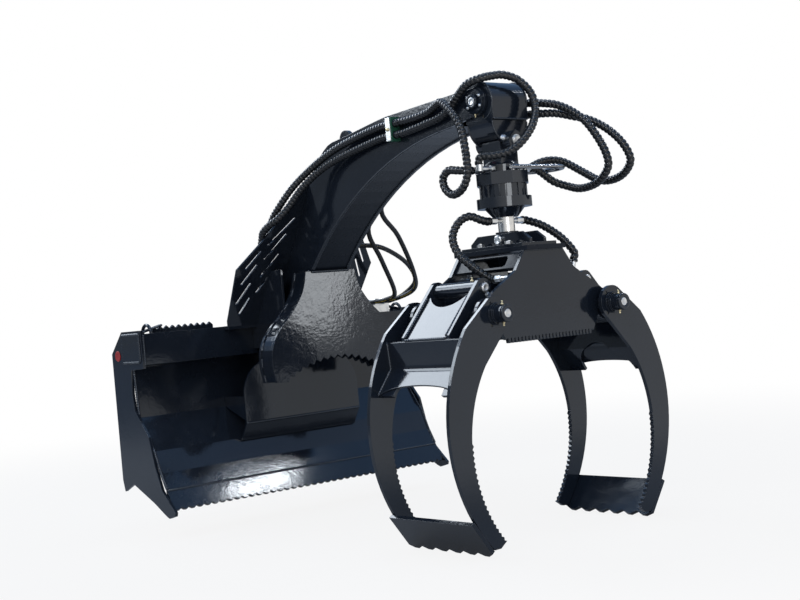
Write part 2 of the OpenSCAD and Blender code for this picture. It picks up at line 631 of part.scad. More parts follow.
// Bracket: base, collar and two trapezoid plates along the collar's sides
module head_bracket() color(paint) translate([0, axis[1], 0]) difference() {
    union() {
        translate([-base_w / 2, -base_d / 2, body_top + root_gap]) cube([base_w, base_d, base_t]);
        translate([0, 0, body_top + root_gap]) cylinder(d = collar_d, h = collar_top - body_top - root_gap, $fn = fine);
        for (s = [-1, 1]) plate_yz([[-gusset_foot, body_top + base_t], [gusset_foot, body_top + base_t],
            [gusset_foot, body_top + base_t + gusset_lip], [gusset_head, collar_top - gusset_lip / 2],
            [-gusset_head, collar_top - gusset_lip / 2], [-gusset_foot, body_top + base_t + gusset_lip]],
            s * (collar_d - gusset_t) / 2 - gusset_t / 2, gusset_t);
    }
    translate([0, 0, body_top - cut]) cylinder(d = shaft_d + 2 * run, h = collar_top - body_top + 2 * cut, $fn = fine);
    translate([0, 0, head_pin_z]) rod_x(head_pin_d / 2 + run, collar_d + 2 * cut);
}
bolt_x = 67;
bolt_y = 72;
bolt_d = 16;
bolt_head = 10;
head_cap_r = 18;
module head_bolts() color(zinc) {
    for (sx = [-1, 1], sy = [-1, 1]) translate([sx * bolt_x, axis[1] + sy * bolt_y, body_top + base_t + 2 * root_gap])
        hex_bolt(bolt_d, bolt_head);
    // cross pin that holds the shaft in its collar
    translate([0, axis[1], head_pin_z]) rod_x(head_pin_d / 2, collar_d + 2 * root_gap);
    for (s = [-1, 1]) translate([s * (collar_d / 2 + root_gap + pin_stand / 2), axis[1], head_pin_z])
        rod_x(head_cap_r, pin_stand);
}

// Grapple body
tong_pin_drop = 34;
tong_z = tube_top - tong_pin_drop;
half_span = pin_span / 2;
top_plate_t = 16;
pin_boss_r = 55;
body_half_shares = [[0.33, 1], [0.50, 0.673], [0.62, 0.572], [0.85, 0.3895], [1.02, 0.2212]];
bite_half = 0.756 * half_span;
bite_drop = 92;
bite_z = tong_z - bite_drop;
body_rise = body_top - top_plate_t - tong_z;
function body_half() = [for (s = body_half_shares) [s[0] * half_span, tong_z + s[1] * body_rise]];
module body_plate() difference() {
    union() {
        plate_xz(body_outline(), 0, plate_t);
        for (s = [-1, 1]) translate([s * half_span, plate_t / 2, tong_z]) rod_y(pin_boss_r, plate_t);
    }
    for (s = [-1, 1]) translate([s * half_span, plate_t / 2, tong_z]) rod_y(pin_d / 2 + run, plate_t + 2 * cut);
}
function body_outline() = concat(rev(body_half()), [[-body_half()[0][0], body_half()[0][1]]],
    [for (i = [1 : len(body_half()) - 1]) [-body_half()[i][0], body_half()[i][1]]],
    saw([-bite_half, bite_z], [bite_half, bite_z], bite_pitch, bite_h), [[bite_half, bite_z]]);
module body_plate_front() color(paint) translate([0, axis[1] - body_gap / 2 - plate_t / 2, 0]) body_plate();
module body_plate_rear() color(paint) translate([0, axis[1] + body_gap / 2 - plate_t / 2, 0]) body_plate();

body_in = body_gap - plate_t;
top_w = 190;
shell_plate_t = 8;
window_w = 190;
window_h = 44;
window_r = window_h / 3;
// Corners of a rounded rectangle about the origin
function rounded(w, h, r) = [for (q = [[1, 1, 0], [-1, 1, 90], [-1, -1, 180], [1, -1, 270]], p = arc([q[0] * (w / 2 - r), q[1] * (h / 2 - r)], r, q[2], q[2] + 90, 6)) p];
module body_shell() color(paint) translate([0, axis[1], 0]) {
    // top plate over the two body plates
    translate([-top_w / 2, -body_gap / 2 - top_over, body_top - top_plate_t])
        cube([top_w, body_gap + 2 * top_over, top_plate_t]);
    // sloping end panels with a rounded window
    for (s = [0, 1]) mirror([s, 0, 0]) end_panel();
}
top_over = 22;
panel_inset = 2;
panel_a = [body_half()[0][0] - panel_inset, body_top - top_plate_t - root_gap];
panel_b = body_half()[1] - [panel_inset, panel_inset];
module end_panel() {
    d = panel_b - panel_a;
    l = norm(d) - panel_short;
    translate([panel_a[0] - shell_plate_t, 0, panel_a[1]]) rotate([0, atan2(-d[1], d[0]), 0]) difference() {
        translate([panel_start, -body_in / 2 + root_gap, -shell_plate_t])
            cube([l - panel_start, body_in - 2 * root_gap, shell_plate_t]);
        translate([panel_start + (l - panel_start) * window_share, 0, -shell_plate_t - cut]) linear_extrude(shell_plate_t + 2 * cut)
            polygon(rounded(window_h, window_w, window_r));
    }
}
panel_start = 8;
panel_short = 16;
window_share = 0.5;

hub_stand = 44;
tong_pin_l = tong_gap + plate_t + 2 * (hub_stand + pin_stand / 2);
hub_r = 30;
module tong_pin_left() color(steel) translate([-half_span, axis[1], tong_z]) rod_y(pin_d / 2, tong_pin_l);
module tong_pin_right() color(steel) translate([half_span, axis[1], tong_z]) rod_y(pin_d / 2, tong_pin_l);

// Tongs, drawn for the right one about its pin: x outwards from the grapple's axis
tong_k = tong_drop / tong_drawn;
function rim(c, r, a, b, n) = arc(c * tong_k, r * tong_k, a, b, n);
tong_head_r = 62;
head_pts = arc([half_span, 0], tong_head_r, 60, 235, 14);
outer_a = 36;
outer_b = -42.5;
inner_a = 36;
inner_b = -41.5;
bite_from = 4;
tong_tip = [for (s = [[0.985, -0.998], [0.93, -1.0]]) [s[0] * (outer_c[0] + tong_outer_r * cos(outer_b)) * tong_k, s[1] * tong_drop]];
inner_top = rim(inner_c, tong_inner_r, inner_a, bite_from, 10);
inner_low = rim(inner_c, tong_inner_r, bite_from, inner_b, 20);
tong_outline = concat(rim(outer_c, tong_outer_r, outer_b, outer_a, 24), head_pts,
    inner_top, saw_path(inner_low, bite_pitch, -bite_h), [tong_tip[1]]);
module tong_plate() difference() {
    union() {
        plate_xz(tong_outline, 0, plate_t);
    }
    translate([half_span, plate_t / 2, 0]) rod_y(pin_d / 2 + run, plate_t + 2 * cut);
}
// Hub tube outside the plate, with its two wear rings
ring_r = 38;
ring_t = 5;
module hub(l) difference() {
    union() {
        translate([half_span, -l / 2, 0]) rod_y(hub_r, l);
        for (i = [0, 1]) translate([half_span, -ring_t * (0.5 + 1.6 * i), 0]) rod_y(ring_r, ring_t);
    }
    translate([half_span, -l / 2, 0]) rod_y(pin_d / 2 + run, l + 2 * cut);
}
module tong_front() translate([0, axis[1] - tong_gap / 2 - plate_t / 2, tong_z]) {
    tong_plate();
    hub(hub_stand);
}
module tong_rear() translate([0, axis[1] + tong_gap / 2 + plate_t / 2, tong_z]) mirror([0, 1, 0]) {
    tong_plate();
    hub(hub_stand);
}
// Bridge: folded cross plate with an arch, ears for the cylinder and the notched web between them
tong_in = tong_gap - plate_t;
bridge_t = 12;
ear_in = 107;
ear_t = 16;
ear_dx = -34;
ear_dz = 91;
ear_r = 34;
ear_root_r = 46;
cross_shares = [[1.45, -0.088], [1.425, -0.222], [1.66, -0.335]];
cross_pts = [for (s = cross_shares) [s[0] * half_span, s[1] * tong_drop]];
ear_outer = ear_in + ear_t;
arch_w = 250;
module bridge_fold() difference() {
    plate_yz_side(strip(cross_pts, bridge_t), tong_in - 2 * root_gap);
    // arch cut in the lower flange
    translate([cross_pts[2][0], 0, cross_pts[2][1]]) scale_arch();
}
module scale_arch() rotate([0, arch_lean, 0]) cylinder(d = arch_w, h = arch_w, center = true, $fn = fine);
arch_lean = 45;
module plate_yz_side(pts, w) translate([0, w / 2, 0]) rotate([90, 0, 0]) linear_extrude(w) polygon(pts);
ear_pts = concat(arc([half_span + ear_dx, ear_dz], ear_r, 50, 190, 12), arc([half_span, 0], ear_root_r, 200, 285, 8),
    [cross_pts[0] + [0, -bridge_t], cross_pts[0] + [bridge_t * 0.9, -bridge_t], cross_pts[0] + [bridge_t * 0.9, bridge_t]]);
// Notched web between the ears
web_pts = [cross_pts[0] + [bridge_t * 0.4, 0], [half_span + 0.15 * half_span, 0.02 * tong_drop]];
web_t = 10;
notch_share = 0.62;
module web() difference() {
    plate_yz_side(strip(web_pts, web_t), 2 * ear_in + 2 * cut);
    translate([web_pts[1][0], 0, web_pts[1][1]]) rotate([0, arch_lean, 0])
        cylinder(d = 2 * ear_in * notch_share, h = arch_w, center = true, $fn = fine);
}
module tong_bridge() translate([0, axis[1], tong_z]) difference() {
    union() {
        bridge_fold();
        web();
        for (s = [-1, 1]) translate([0, s * (ear_in + ear_t / 2) - ear_t / 2, 0]) plate_xz(ear_pts, 0, ear_t);
        for (s = [-1, 1]) translate([half_span, s * (ear_in + ear_t + web_hub / 2), 0]) rod_y(hub_r, web_hub);
    }
    translate([half_span + ear_dx, 0, ear_dz]) rod_y(pin_d / 2 * ear_pin_share + run, 2 * ear_outer + 2 * cut);
    translate([half_span, 0, 0]) rod_y(pin_d / 2 + run, tong_in + 2 * cut);
}
web_hub = 20;
ear_pin_share = 0.85;
// Tip blade: outside the tong's tip, with a row of blunt points
tip_t = 14;
tip_top_a = -29.5;
tip_line = [for (a = [tip_top_a, outer_b]) (outer_c + tong_outer_r * [cos(a), sin(a)]) * tong_k];
tip_h = 15;
module tip_blade() translate([0, axis[1], tong_z]) {
    d = tip_line[1] - tip_line[0];
    l = norm(d) + tip_h;
    w = tong_gap + plate_t;
    n = tip_points;
    toe = [for (i = [0 : n - 1], s = [[0, 0.1], [0.35, 1], [0.65, 0.9]]) [(i + s[0]) * w / n, l + s[1] * tip_h - tip_h]];
    bulge = tong_outer_r * tong_k * (1 - cos((tip_top_a - outer_b) / 2)) + root_gap;
    out = -perp(unit(d));
    translate([tip_line[0][0] - out[0] * bulge, -w / 2, tip_line[0][1] - out[1] * bulge])
        rotate([0, 90 - atan2(d[0], -d[1]), 0])
        tip_profile(concat([[0, 0]], toe, [[w, l - tip_h * 0.9], [w, 0]]));
}
module tip_profile(outline) multmatrix([[0, 1, 0, 0], [1, 0, 0, 0], [0, 0, 1, 0], [0, 0, 0, 1]])
    linear_extrude(tip_t) polygon(outline);

module tong_left_front() color(paint) mirror([1, 0, 0]) tong_front();
module tong_left_rear() color(paint) mirror([1, 0, 0]) tong_rear();
module tong_left_bridge() color(paint) mirror([1, 0, 0]) tong_bridge();
module tip_blade_left() color(paint) mirror([1, 0, 0]) tip_blade();
module tong_right_front() color(paint) tong_front();
module tong_right_rear() color(paint) tong_rear();
module tong_right_bridge() color(paint) tong_bridge();
module tip_blade_right() color(paint) tip_blade();

// Cylinder between the two pairs of ears
cyl_pin_r = pin_d / 2 * ear_pin_share;
cyl_z = tong_z + ear_dz;
cyl_x = half_span + ear_dx;
cyl_pin_l = 2 * ear_outer + 2 * pin_stand;
module cylinder_pin_left() color(steel) translate([-cyl_x, axis[1], cyl_z]) rod_y(cyl_pin_r, cyl_pin_l);
module cylinder_pin_right() color(steel) translate([cyl_x, axis[1], cyl_z]) rod_y(cyl_pin_r, cyl_pin_l);
eye_r = 26;
eye_w = 2 * (ear_in - side_play);
barrel_start = 22;
barrel_l = 270;
bore_r = cyl_d / 2 - 7;
gland_l = 30;
module cylinder_barrel() color(paint) translate([-cyl_x, axis[1], cyl_z]) difference() {
    union() {
        rod_y(eye_r, eye_w);
        translate([barrel_start + barrel_l / 2, 0, 0]) rod_x(cyl_d / 2, barrel_l);
        // ports on top
        for (x = [barrel_start + port_in, barrel_start + barrel_l - port_in])
            translate([x, 0, cyl_d / 2 - cut]) cylinder(d = fit_d, h = port_up + cut, $fn = coarse);
    }
    rod_y(cyl_pin_r + run, eye_w + 2 * cut);
    translate([barrel_start + barrel_base + (barrel_l - barrel_base - gland_l) / 2, 0, 0])
        rod_x(bore_r, barrel_l - barrel_base - gland_l);
    translate([barrel_start + barrel_l - gland_l / 2, 0, 0]) rod_x(rod_d / 2 + run, gland_l + 2 * cut);
}
barrel_base = 26;
port_in = 36;
port_up = 10;
piston_l = 26;
rod_back = 66;
rod_reach = 2 * cyl_x - barrel_start - barrel_base - rod_back;
module cylinder_rod() color(steel) translate([cyl_x, axis[1], cyl_z]) difference() {
    union() {
        rod_y(eye_r, eye_w);
        translate([-rod_reach / 2, 0, 0]) rod_x(rod_d / 2, rod_reach);
        translate([-rod_reach + piston_l / 2, 0, 0]) rod_x(bore_r - run, piston_l);
    }
    rod_y(cyl_pin_r + run, eye_w + 2 * cut);
}

// Grease nipples on the tong hubs and the link
nipple_d = 8;
nipple_l = 12;
module nipple() {
    cylinder(d = nipple_d, h = nipple_l * 0.5, $fn = 6);
    cylinder(d = nipple_d * 0.6, h = nipple_l, $fn = coarse);
}
module grease_nipples() color(brass) {
    for (s = [-1, 1]) translate([s * (boom_w / 2 + boss_ring_t / 2), pin1[0], pin1[1] - boss_ring_r - root_gap])
        mirror([0, 0, 1]) nipple();
}

// Hoses: a tube swept along a smooth path, with ribs for the wrapped guard
hose_sides = 8;
hose_bore = 12.7;
rib_step = 52;
rib_dip_share = 0.86;
plain_step = 2.6;
function frames(t) = [for (i = 0, n = first_normal(t[0]); i < len(t); i = i + 1,
    n = i < len(t) ? unit(n - (n * t[i]) * t[i]) : n) n];
function first_normal(t) = unit(cross(t, abs(t[2]) < 0.9 ? [0, 0, 1] : [1, 0, 0]));
// Directions along the path; both ends stand square to the route's end pieces
function headings(path, route) = let (last = len(path) - 1, end = len(route) - 1)
    [for (i = [0 : last]) i == 0 ? unit(route[1] - route[0]) : i == last ? unit(route[end] - route[end - 1]) : along(path, i)];
// Points every step along a smooth path
function walk(v, step) = let (l = path_len(v), n = max(2, round(l / step)))
    [for (i = [0 : n]) at_len(v, l * i / n)];
function at_len(v, d, i = 1) = i >= len(v) - 1 || norm(v[i] - v[i - 1]) >= d
    ? v[i - 1] + unit(v[i] - v[i - 1]) * min(d, norm(v[i] - v[i - 1])) : at_len(v, d - norm(v[i] - v[i - 1]), i + 1);
// One ring of points round each point of the path
function rings(path, route, radii, sides) = let (t = headings(path, route), n = frames(t))
    [for (i = [0 : len(path) - 1]) let (b = cross(t[i], n[i])) [for (k = [0 : sides - 1])
        let (a = 360 * k / sides) path[i] + radii[i] * (cos(a) * n[i] + sin(a) * b)]];
module sweep(path, route, radii, sides) {
    pts = [for (r = rings(path, route, radii, sides), p = r) p];
    faces = concat(
        [[for (k = [sides - 1 : -1 : 0]) k]],
        [for (i = [0 : len(path) - 2], k = [0 : sides - 1], h = [0, 1])
            let (a = i * sides + k, b = i * sides + (k + 1) % sides)
            h == 0 ? [a, b, b + sides] : [a, b + sides, a + sides]],
        [[for (k = [0 : sides - 1]) (len(path) - 1) * sides + k]]);
    polyhedron(points = pts, faces = [for (f = faces) rev(f)], convexity = 6);
}
// A hose with its bore: the rings of the cover run out along the path, and those of the bore run back
module ribbed_hose(route, d) {
    path = walk(smooth(route, 6), rib_step / 2);
    last = len(path) - 1;
    cover = rings(path, route, [for (i = [0 : last]) (i % 2 == 0 && i > 2 && i < last - 2 ? 1 : rib_dip_share) * d / 2], hose_sides);
    bore = rings(path, route, [for (i = [0 : last]) hose_bore / 2], hose_sides);
    loop = concat(cover, [for (i = [last : -1 : 0]) if (i % 2 == 0 || i == last) bore[i]]);
    m = len(loop);
    polyhedron(points = [for (r = loop, p = r) p],
        faces = [for (i = [0 : m - 1], k = [0 : hose_sides - 1], h = [0, 1])
            let (j = (i + 1) % m, l = (k + 1) % hose_sides, a = i * hose_sides + k, b = i * hose_sides + l)
            h == 0 ? [j * hose_sides + l, b, a] : [j * hose_sides + k, j * hose_sides + l, a]], convexity = 8);
}
module plain_hose(route, d) {
    path = walk(smooth(route, 6), plain_step * d);
    sweep(path, route, [for (p = path) d / 2], hose_sides);
}

// Routes, in the frame, chosen by hand along the photographed hoses
route_a_low = [[-155, -186, 335], [-155, -204, 335], [-156, -240, 352], [-160, -300, 420], [-175, -390, 530],
    [-200, -455, 620], [-212, -490, 685], [-223, -534, 726], [-217, -590, 776], [-196, -650, 835], [-172, -719, 885],
    [-152, -808, 931], [-135, -906, 966], [-122, -1034, 992], [-122, -1140, 1004], [-122, -1185, 1006],
    [-122, -1230, 1006], [-122, -1275, 1006]];
route_b_low = [[-212, -186, 335], [-212, -204, 335], [-212, -240, 352], [-212, -300, 420], [-215, -380, 510],
    [-236, -440, 590], [-247, -476, 645], [-259, -506, 671], [-254, -541, 694], [-236, -588, 718], [-205, -625, 760], [-185, -680, 815],
    [-166, -740, 860], [-150, -810, 895], [-135, -899, 922], [-122, -1027, 946], [-122, -1135, 960], [-122, -1180, 963],
    [-122, -1225, 963], [-122, -1270, 963]];
route_a = [[-122, -1275.3, 1006], [-122, -1344, 1006], [-122, -1430, 1014], [-132, -1489, 1029], [-146, -1535, 1034],
    [-160, -1587, 1003], [-167, -1630, 962], [-170, -1658, 909], [-172, -1671, 826], [-172, -1670, 759],
    [-174, -1640, 711], [-176, -1591, 695], [-174, -1550, 722], [-168, -1538, 762], [-165, -1566, 784],
    [-164, -1602, 780], [-154, -1632, 775], [-137, -1641, 774], [-118.6, -1641, 774]];
route_b = [[-122, -1270.3, 963], [-122, -1292, 963], [-122, -1345, 968], [-122, -1425, 977], [-120, -1499, 988],
    [-120, -1548, 1008], [-121, -1596, 1044], [-121, -1652, 1078], [-104, -1704, 1090], [-52, -1712, 1100],
    [-10, -1726, 1102], [35, -1746, 1085], [65, -1768, 1048], [75, -1781, 1009], [66, -1793, 962], [25, -1808, 905],
    [-25, -1800, 852], [-66, -1772, 822], [-104, -1735, 814], [-124, -1702, 816], [-130, -1689, 804],
    [-130, -1689, 788.8]];
route_c = [[122, -1280, 1000], [122, -1320, 1000], [122, -1360, 1000], [122, -1440, 1008], [126, -1530, 1018],
    [137, -1620, 1020], [140, -1700, 1010], [144, -1757, 1000], [160, -1809, 986], [180, -1858, 957],
    [200, -1905, 911], [220, -1941, 843], [230, -1960, 789], [238, -1957, 747], [244, -1921, 711], [250, -1872, 691],
    [254, -1802, 686], [250, -1745, 701], [220, -1706, 723], [184, -1693, 752], [158, -1689, 769], [138, -1689, 774],
    [118.6, -1689, 774]];
route_d = [[122, -1280, 957], [122, -1320, 957], [122, -1360, 957], [122, -1440, 964], [126, -1530, 974],
    [137, -1620, 975], [140, -1690, 970], [147, -1742, 965], [178, -1789, 959], [213, -1837, 941], [242, -1880, 924],
    [266, -1935, 886], [284, -1980, 837], [302, -2000, 788], [312, -1995, 753], [320, -1955, 720], [326, -1895, 705],
    [326, -1830, 712], [322, -1758, 752], [298, -1692, 797], [262, -1660, 808], [222, -1645, 802], [180, -1641, 787],
    [156, -1641, 777], [138, -1641, 774], [118.6, -1641, 774]];
route_c_low = [[122, -1279.7, 1000], [122, -1262, 1000], [122, -1173, 992], [122, -1034, 955], [124, -900, 850],
    [132, -806, 718], [290, -710, 618], [458, -590, 473], [560, -470, 395], [556, -350, 358], [520, -275, 350],
    [516, -258, 350], [516, -242, 350]];
route_d_low = [[122, -1279.7, 957], [122, -1262, 957], [122, -1166, 942], [122, -1010, 880], [124, -850, 770],
    [132, -710, 653], [245, -640, 522], [417, -500, 385], [476, -370, 356], [466, -280, 350], [462, -258, 350],
    [462, -242, 350]];
route_e_low = [[100.4, -560, 590], [114, -560, 590], [130, -564, 591], [165, -600, 592], [255, -640, 575],
    [469, -535, 510], [610, -420, 430], [606, -330, 372], [574, -275, 350], [570, -258, 350], [570, -242, 350]];
route_left = [[-80.6, -1665, 590], [-97, -1665, 590], [-122, -1661, 597], [-152, -1640, 612], [-178, -1615, 598],
    [-203, -1604, 560], [-214, -1612, 521], [-213, -1635, 480], [-198, -1672, 440], [-172, -1703, 404],
    [-152, -1724, 384], [-152, -1744, 384]];
route_right = [[80.6, -1665, 590], [96, -1665, 590], [123, -1703, 572], [148, -1730, 549], [167, -1764, 517],
    [187, -1788, 479], [200, -1796, 452], [195, -1796, 441.4], [190, -1796, 424]];
supply_d = 20;
module boom_hoses() color(hose_black) {
    ribbed_hose(route_a_low, hose_d);
    ribbed_hose(route_b_low, hose_d);
}
module supply_hoses() color(hose_black) {
    plain_hose(route_c_low, supply_d);
    plain_hose(route_d_low, supply_d);
    plain_hose(route_e_low, supply_d);
}
module hose_loop_a() color(hose_black) ribbed_hose(route_a, hose_d);
module hose_loop_b() color(hose_black) ribbed_hose(route_b, hose_d);
module hose_loop_c() color(hose_black) ribbed_hose(route_c, hose_d);
module hose_loop_d() color(hose_black) ribbed_hose(route_d, hose_d);
module grapple_hose_left() color(hose_black) ribbed_hose(route_left, hose_d);
module grapple_hose_right() color(hose_black) ribbed_hose(route_right, hose_d);

// Clamps that hold the hoses to the boom's sides
clamp_l = 26;
clamp_edge = 9;
clamp_play = 0.3;
module clamp(side, c0, c1) difference() {
    x0 = boom_w / 2 + root_gap;
    x1 = abs(c0[0]) + hose_d / 2 + clamp_edge / 2;
    z0 = min(c0[2], c1[2]) - hose_d / 2 - clamp_edge;
    z1 = max(c0[2], c1[2]) + hose_d / 2 + clamp_edge;
    translate([side > 0 ? x0 : -x1, c0[1] - clamp_l / 2, z0]) cube([x1 - x0, clamp_l, z1 - z0]);
    for (c = [c0, c1]) translate(c) rod_y(hose_d / 2 + clamp_play, 2 * clamp_l);
}
module hose_clamps() color(paint) {
    clamp(-1, route_a_low[len(route_a_low) - 2], route_b_low[len(route_b_low) - 2]);
    clamp(1, route_c[1], route_d[1]);
}

// Couplers where the hoses end on the tube
coupler_d = 32;
coupler_l = 58;
coupler_wall = 8;
module coupler(c, n = 6) translate(c) rotate([-90, 0, 0]) {
    cylinder(d = coupler_d, h = coupler_l * coupler_hex_share, $fn = n);
    cylinder(d = coupler_d * coupler_neck_share, h = coupler_l, $fn = coarse);
}
coupler_hex_share = 0.6;
coupler_neck_share = 0.8;
function end_left(r) = r[0] + [0, root_gap, 0];
function end_right(r) = r[len(r) - 1] + [0, root_gap, 0];
module coupler_block() color(zinc) {
    for (r = [route_a_low, route_b_low]) coupler(end_left(r));
    for (r = [route_c_low, route_d_low, route_e_low]) coupler(end_right(r));
    coupler_bracket([end_left(route_b_low), end_left(route_a_low)]);
    coupler_bracket([end_right(route_d_low), end_right(route_c_low), end_right(route_e_low)]);
}
module coupler_bracket(c) {
    x0 = c[0][0] - coupler_d;
    x1 = c[len(c) - 1][0] + coupler_d;
    y = c[0][1] + coupler_l * 0.3;
    translate([x0, y, tube_top + root_gap]) cube([x1 - x0, coupler_wall, c[0][2] - tube_top]);
}

// Tie-down at each end of the tube: a bent eye with a long link through it
eye_bar = 14;
eye_bend_r = 34;
link_bar = 9;
link_wide = 22;
link_long = 104;
tie_x_share = 0.915;
tie_back = 52;
link_lift = 14;
module tie(s) translate([s * blade_w / 2 * tie_x_share, tube_front + tie_back, tube_top + root_gap]) mirror([s > 0 ? 1 : 0, 0, 0]) {
    // eye, opening along the tube
    difference() {
        rotate([90, 0, 90]) rotate_extrude($fn = fine) translate([eye_bend_r, 0]) circle(d = eye_bar, $fn = 16);
        translate([-eye_bar, -2 * eye_bend_r, -2 * eye_bend_r]) cube([2 * eye_bar, 4 * eye_bend_r, 2 * eye_bend_r]);
    }
    translate([-link_wide, 0, link_bar / 2 + link_wide / 2 * sin(link_lift)]) rotate([0, -link_lift, 0]) stadium();
}
module stadium() {
    l = link_long - link_wide;
    for (e = [0, 1]) translate([e * l, 0, 0]) rotate([0, 0, e == 0 ? 90 : -90])
        rotate_extrude(angle = 180, $fn = fine) translate([link_wide / 2, 0]) circle(d = link_bar, $fn = 16);
    for (m = [-1, 1]) translate([l / 2, m * link_wide / 2, 0]) rod_x(link_bar / 2, l, 16);
}
module tie_link_left() color(paint) tie(-1);
module tie_link_right() color(paint) tie(1);

// Fittings of the grapple's own hoses: on the shaft and at their lower ends
shaft_port_z = 590;
shaft_fit_l = 50;
drop_lean = 16;
drop_l = 58;
module shaft_fittings() color(zinc) {
    for (m = [-1, 1]) translate([m * (shaft_d / 2 + root_gap + shaft_fit_l / 2), axis[1], shaft_port_z]) {
        rod_x(fit_d * fit_neck_share, shaft_fit_l, coarse);
        translate([m * (shaft_fit_l / 2 - fit_l / 2), 0, 0]) rod_x(fit_d / 2, fit_l, 6);
    }
    // both hoses end at bulkhead fittings on the front body plate, the right one through an elbow
    e = route_right[len(route_right) - 1];
    l = route_left[len(route_left) - 1];
    plate_y = axis[1] - body_gap / 2 + plate_t / 2 + root_gap;
    translate([l[0], l[1] - root_gap - fit_l / 2, l[2]]) rod_y(fit_d / 2, fit_l, 6);
    translate([l[0], plate_y, l[2]]) rotate([-90, 0, 0])
        cylinder(r = fit_d * fit_neck_share, h = l[1] - root_gap - plate_y, $fn = coarse);
    translate(e - [0, 0, root_gap]) rotate([0, 180 + drop_lean, 0]) cylinder(d = fit_d * fit_neck_share * 2, h = drop_l, $fn = coarse);
    translate([e[0] - drop_l * sin(drop_lean), plate_y, e[2] - drop_l * cos(drop_lean)]) rotate([-90, 0, 0])
        cylinder(d = fit_d, h = e[1] - plate_y + fit_d / 2, $fn = 6);
}

side_plate_left();
side_plate_right();
top_tube();
moldboard();
cutting_edge();
top_rail();
quick_attach_plate();
rear_ribs();
apron();
bell_front_plate();
bell_rear_plate();
bell_side_strips();
boom_side_left();
boom_side_right();
boom_top_plate();
boom_belly_plate();
louvred_guard();
guard_gussets();
hose_clamps();
coupler_block();
boom_hoses();
supply_hoses();
tie_link_left();
tie_link_right();
upper_link_pin();
cross_link();
lower_link_pin();
rotator_housing();
rotator_cover();
hose_hoop();
port_fittings();
neck_plug();
hose_loop_a();
hose_loop_b();
hose_loop_c();
hose_loop_d();
rotor_shaft();
head_bracket();
head_bolts();
body_plate_front();
body_plate_rear();
body_shell();
tong_pin_left();
tong_pin_right();
shaft_fittings();
grapple_hose_left();
grapple_hose_right();
tong_left_front();
tong_left_rear();
tong_left_bridge();
tip_blade_left();
tong_right_front();
tong_right_rear();
tong_right_bridge();
tip_blade_right();
cylinder_pin_left();
cylinder_pin_right();
cylinder_barrel();
cylinder_rod();
grease_nipples();
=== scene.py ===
"""Looks of the log grapple: powder coat, wrapped hoses, weld beads, turned fittings, stage and camera."""
import json
import math

import bpy
import numpy as np
from mathutils import Matrix, Vector


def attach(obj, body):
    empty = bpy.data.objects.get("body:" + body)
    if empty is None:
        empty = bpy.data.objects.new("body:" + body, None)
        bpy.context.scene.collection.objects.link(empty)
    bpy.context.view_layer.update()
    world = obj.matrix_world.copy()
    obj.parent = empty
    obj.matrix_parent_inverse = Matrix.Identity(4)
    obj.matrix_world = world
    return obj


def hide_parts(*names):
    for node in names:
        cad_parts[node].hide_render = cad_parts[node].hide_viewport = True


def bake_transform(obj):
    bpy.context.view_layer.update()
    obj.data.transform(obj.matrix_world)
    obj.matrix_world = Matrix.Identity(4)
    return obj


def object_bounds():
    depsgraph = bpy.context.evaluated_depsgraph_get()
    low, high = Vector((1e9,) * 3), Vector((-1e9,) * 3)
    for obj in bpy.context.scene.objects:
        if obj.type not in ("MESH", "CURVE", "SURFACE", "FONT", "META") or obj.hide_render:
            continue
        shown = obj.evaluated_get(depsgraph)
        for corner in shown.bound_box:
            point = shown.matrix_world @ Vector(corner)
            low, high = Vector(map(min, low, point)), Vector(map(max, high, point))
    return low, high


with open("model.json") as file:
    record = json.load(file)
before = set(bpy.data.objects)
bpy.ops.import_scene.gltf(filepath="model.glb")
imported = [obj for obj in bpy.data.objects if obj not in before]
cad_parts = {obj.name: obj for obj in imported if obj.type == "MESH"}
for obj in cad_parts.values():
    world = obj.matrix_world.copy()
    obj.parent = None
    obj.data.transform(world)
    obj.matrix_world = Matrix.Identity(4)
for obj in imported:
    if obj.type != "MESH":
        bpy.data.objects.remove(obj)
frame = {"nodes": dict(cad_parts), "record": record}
cad_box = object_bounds()
bpy.context.scene.view_settings.view_transform = "Standard"

# Named places of the part, in millimetres in the shared frame
BLADE_W = 1450
SIDE_T = 12
TUBE_FRONT = -250
TUBE_TOP = 300
REACH = 1415
RISE = 715
AXIS_Y = TUBE_FRONT - REACH
PIN1_Z = TUBE_TOP + RISE
PIN2_Z = PIN1_Z - 147
TONG_Z = TUBE_TOP - 34
HALF_SPAN = 289
CYL_X = 255
CYL_Z = TONG_Z + 91
HUB_END = 256.5
EAR_END = 133
HEAD_PIN_Z = 522
BODY_GAP = 330
PLATE_T = 15
HOSE_D = 30
SUPPLY_D = 20
BELL_W = 660
BELL_TOP = 496
BELL_H = 440
# The bell's edge as shares of its half width and of its height
BELL_SHARES = [(0.385, 1.0), (0.43, 0.86), (0.50, 0.76), (0.62, 0.645), (0.76, 0.545), (0.90, 0.43),
    (0.985, 0.30), (1.0, 0.15), (0.965, 0.0)]
# Side, y and z of each hose clamp
CLAMPS = [(-1, -1225, 985), (1, -1320, 979)]
HANDS = ("left", "right")
MM = 0.001


def metres(points):
    """Points in millimetres as an array in metres."""
    return np.asarray(points, float) * MM


# The camera comes first: place, direction and lens were fitted to the photograph
TURN = math.radians(-39.7038)
LIFT = math.radians(-0.2461)
ROLL = math.radians(-5.1272)
CAMERA_AT = (-3.4068, -5.1370, 0.3209)


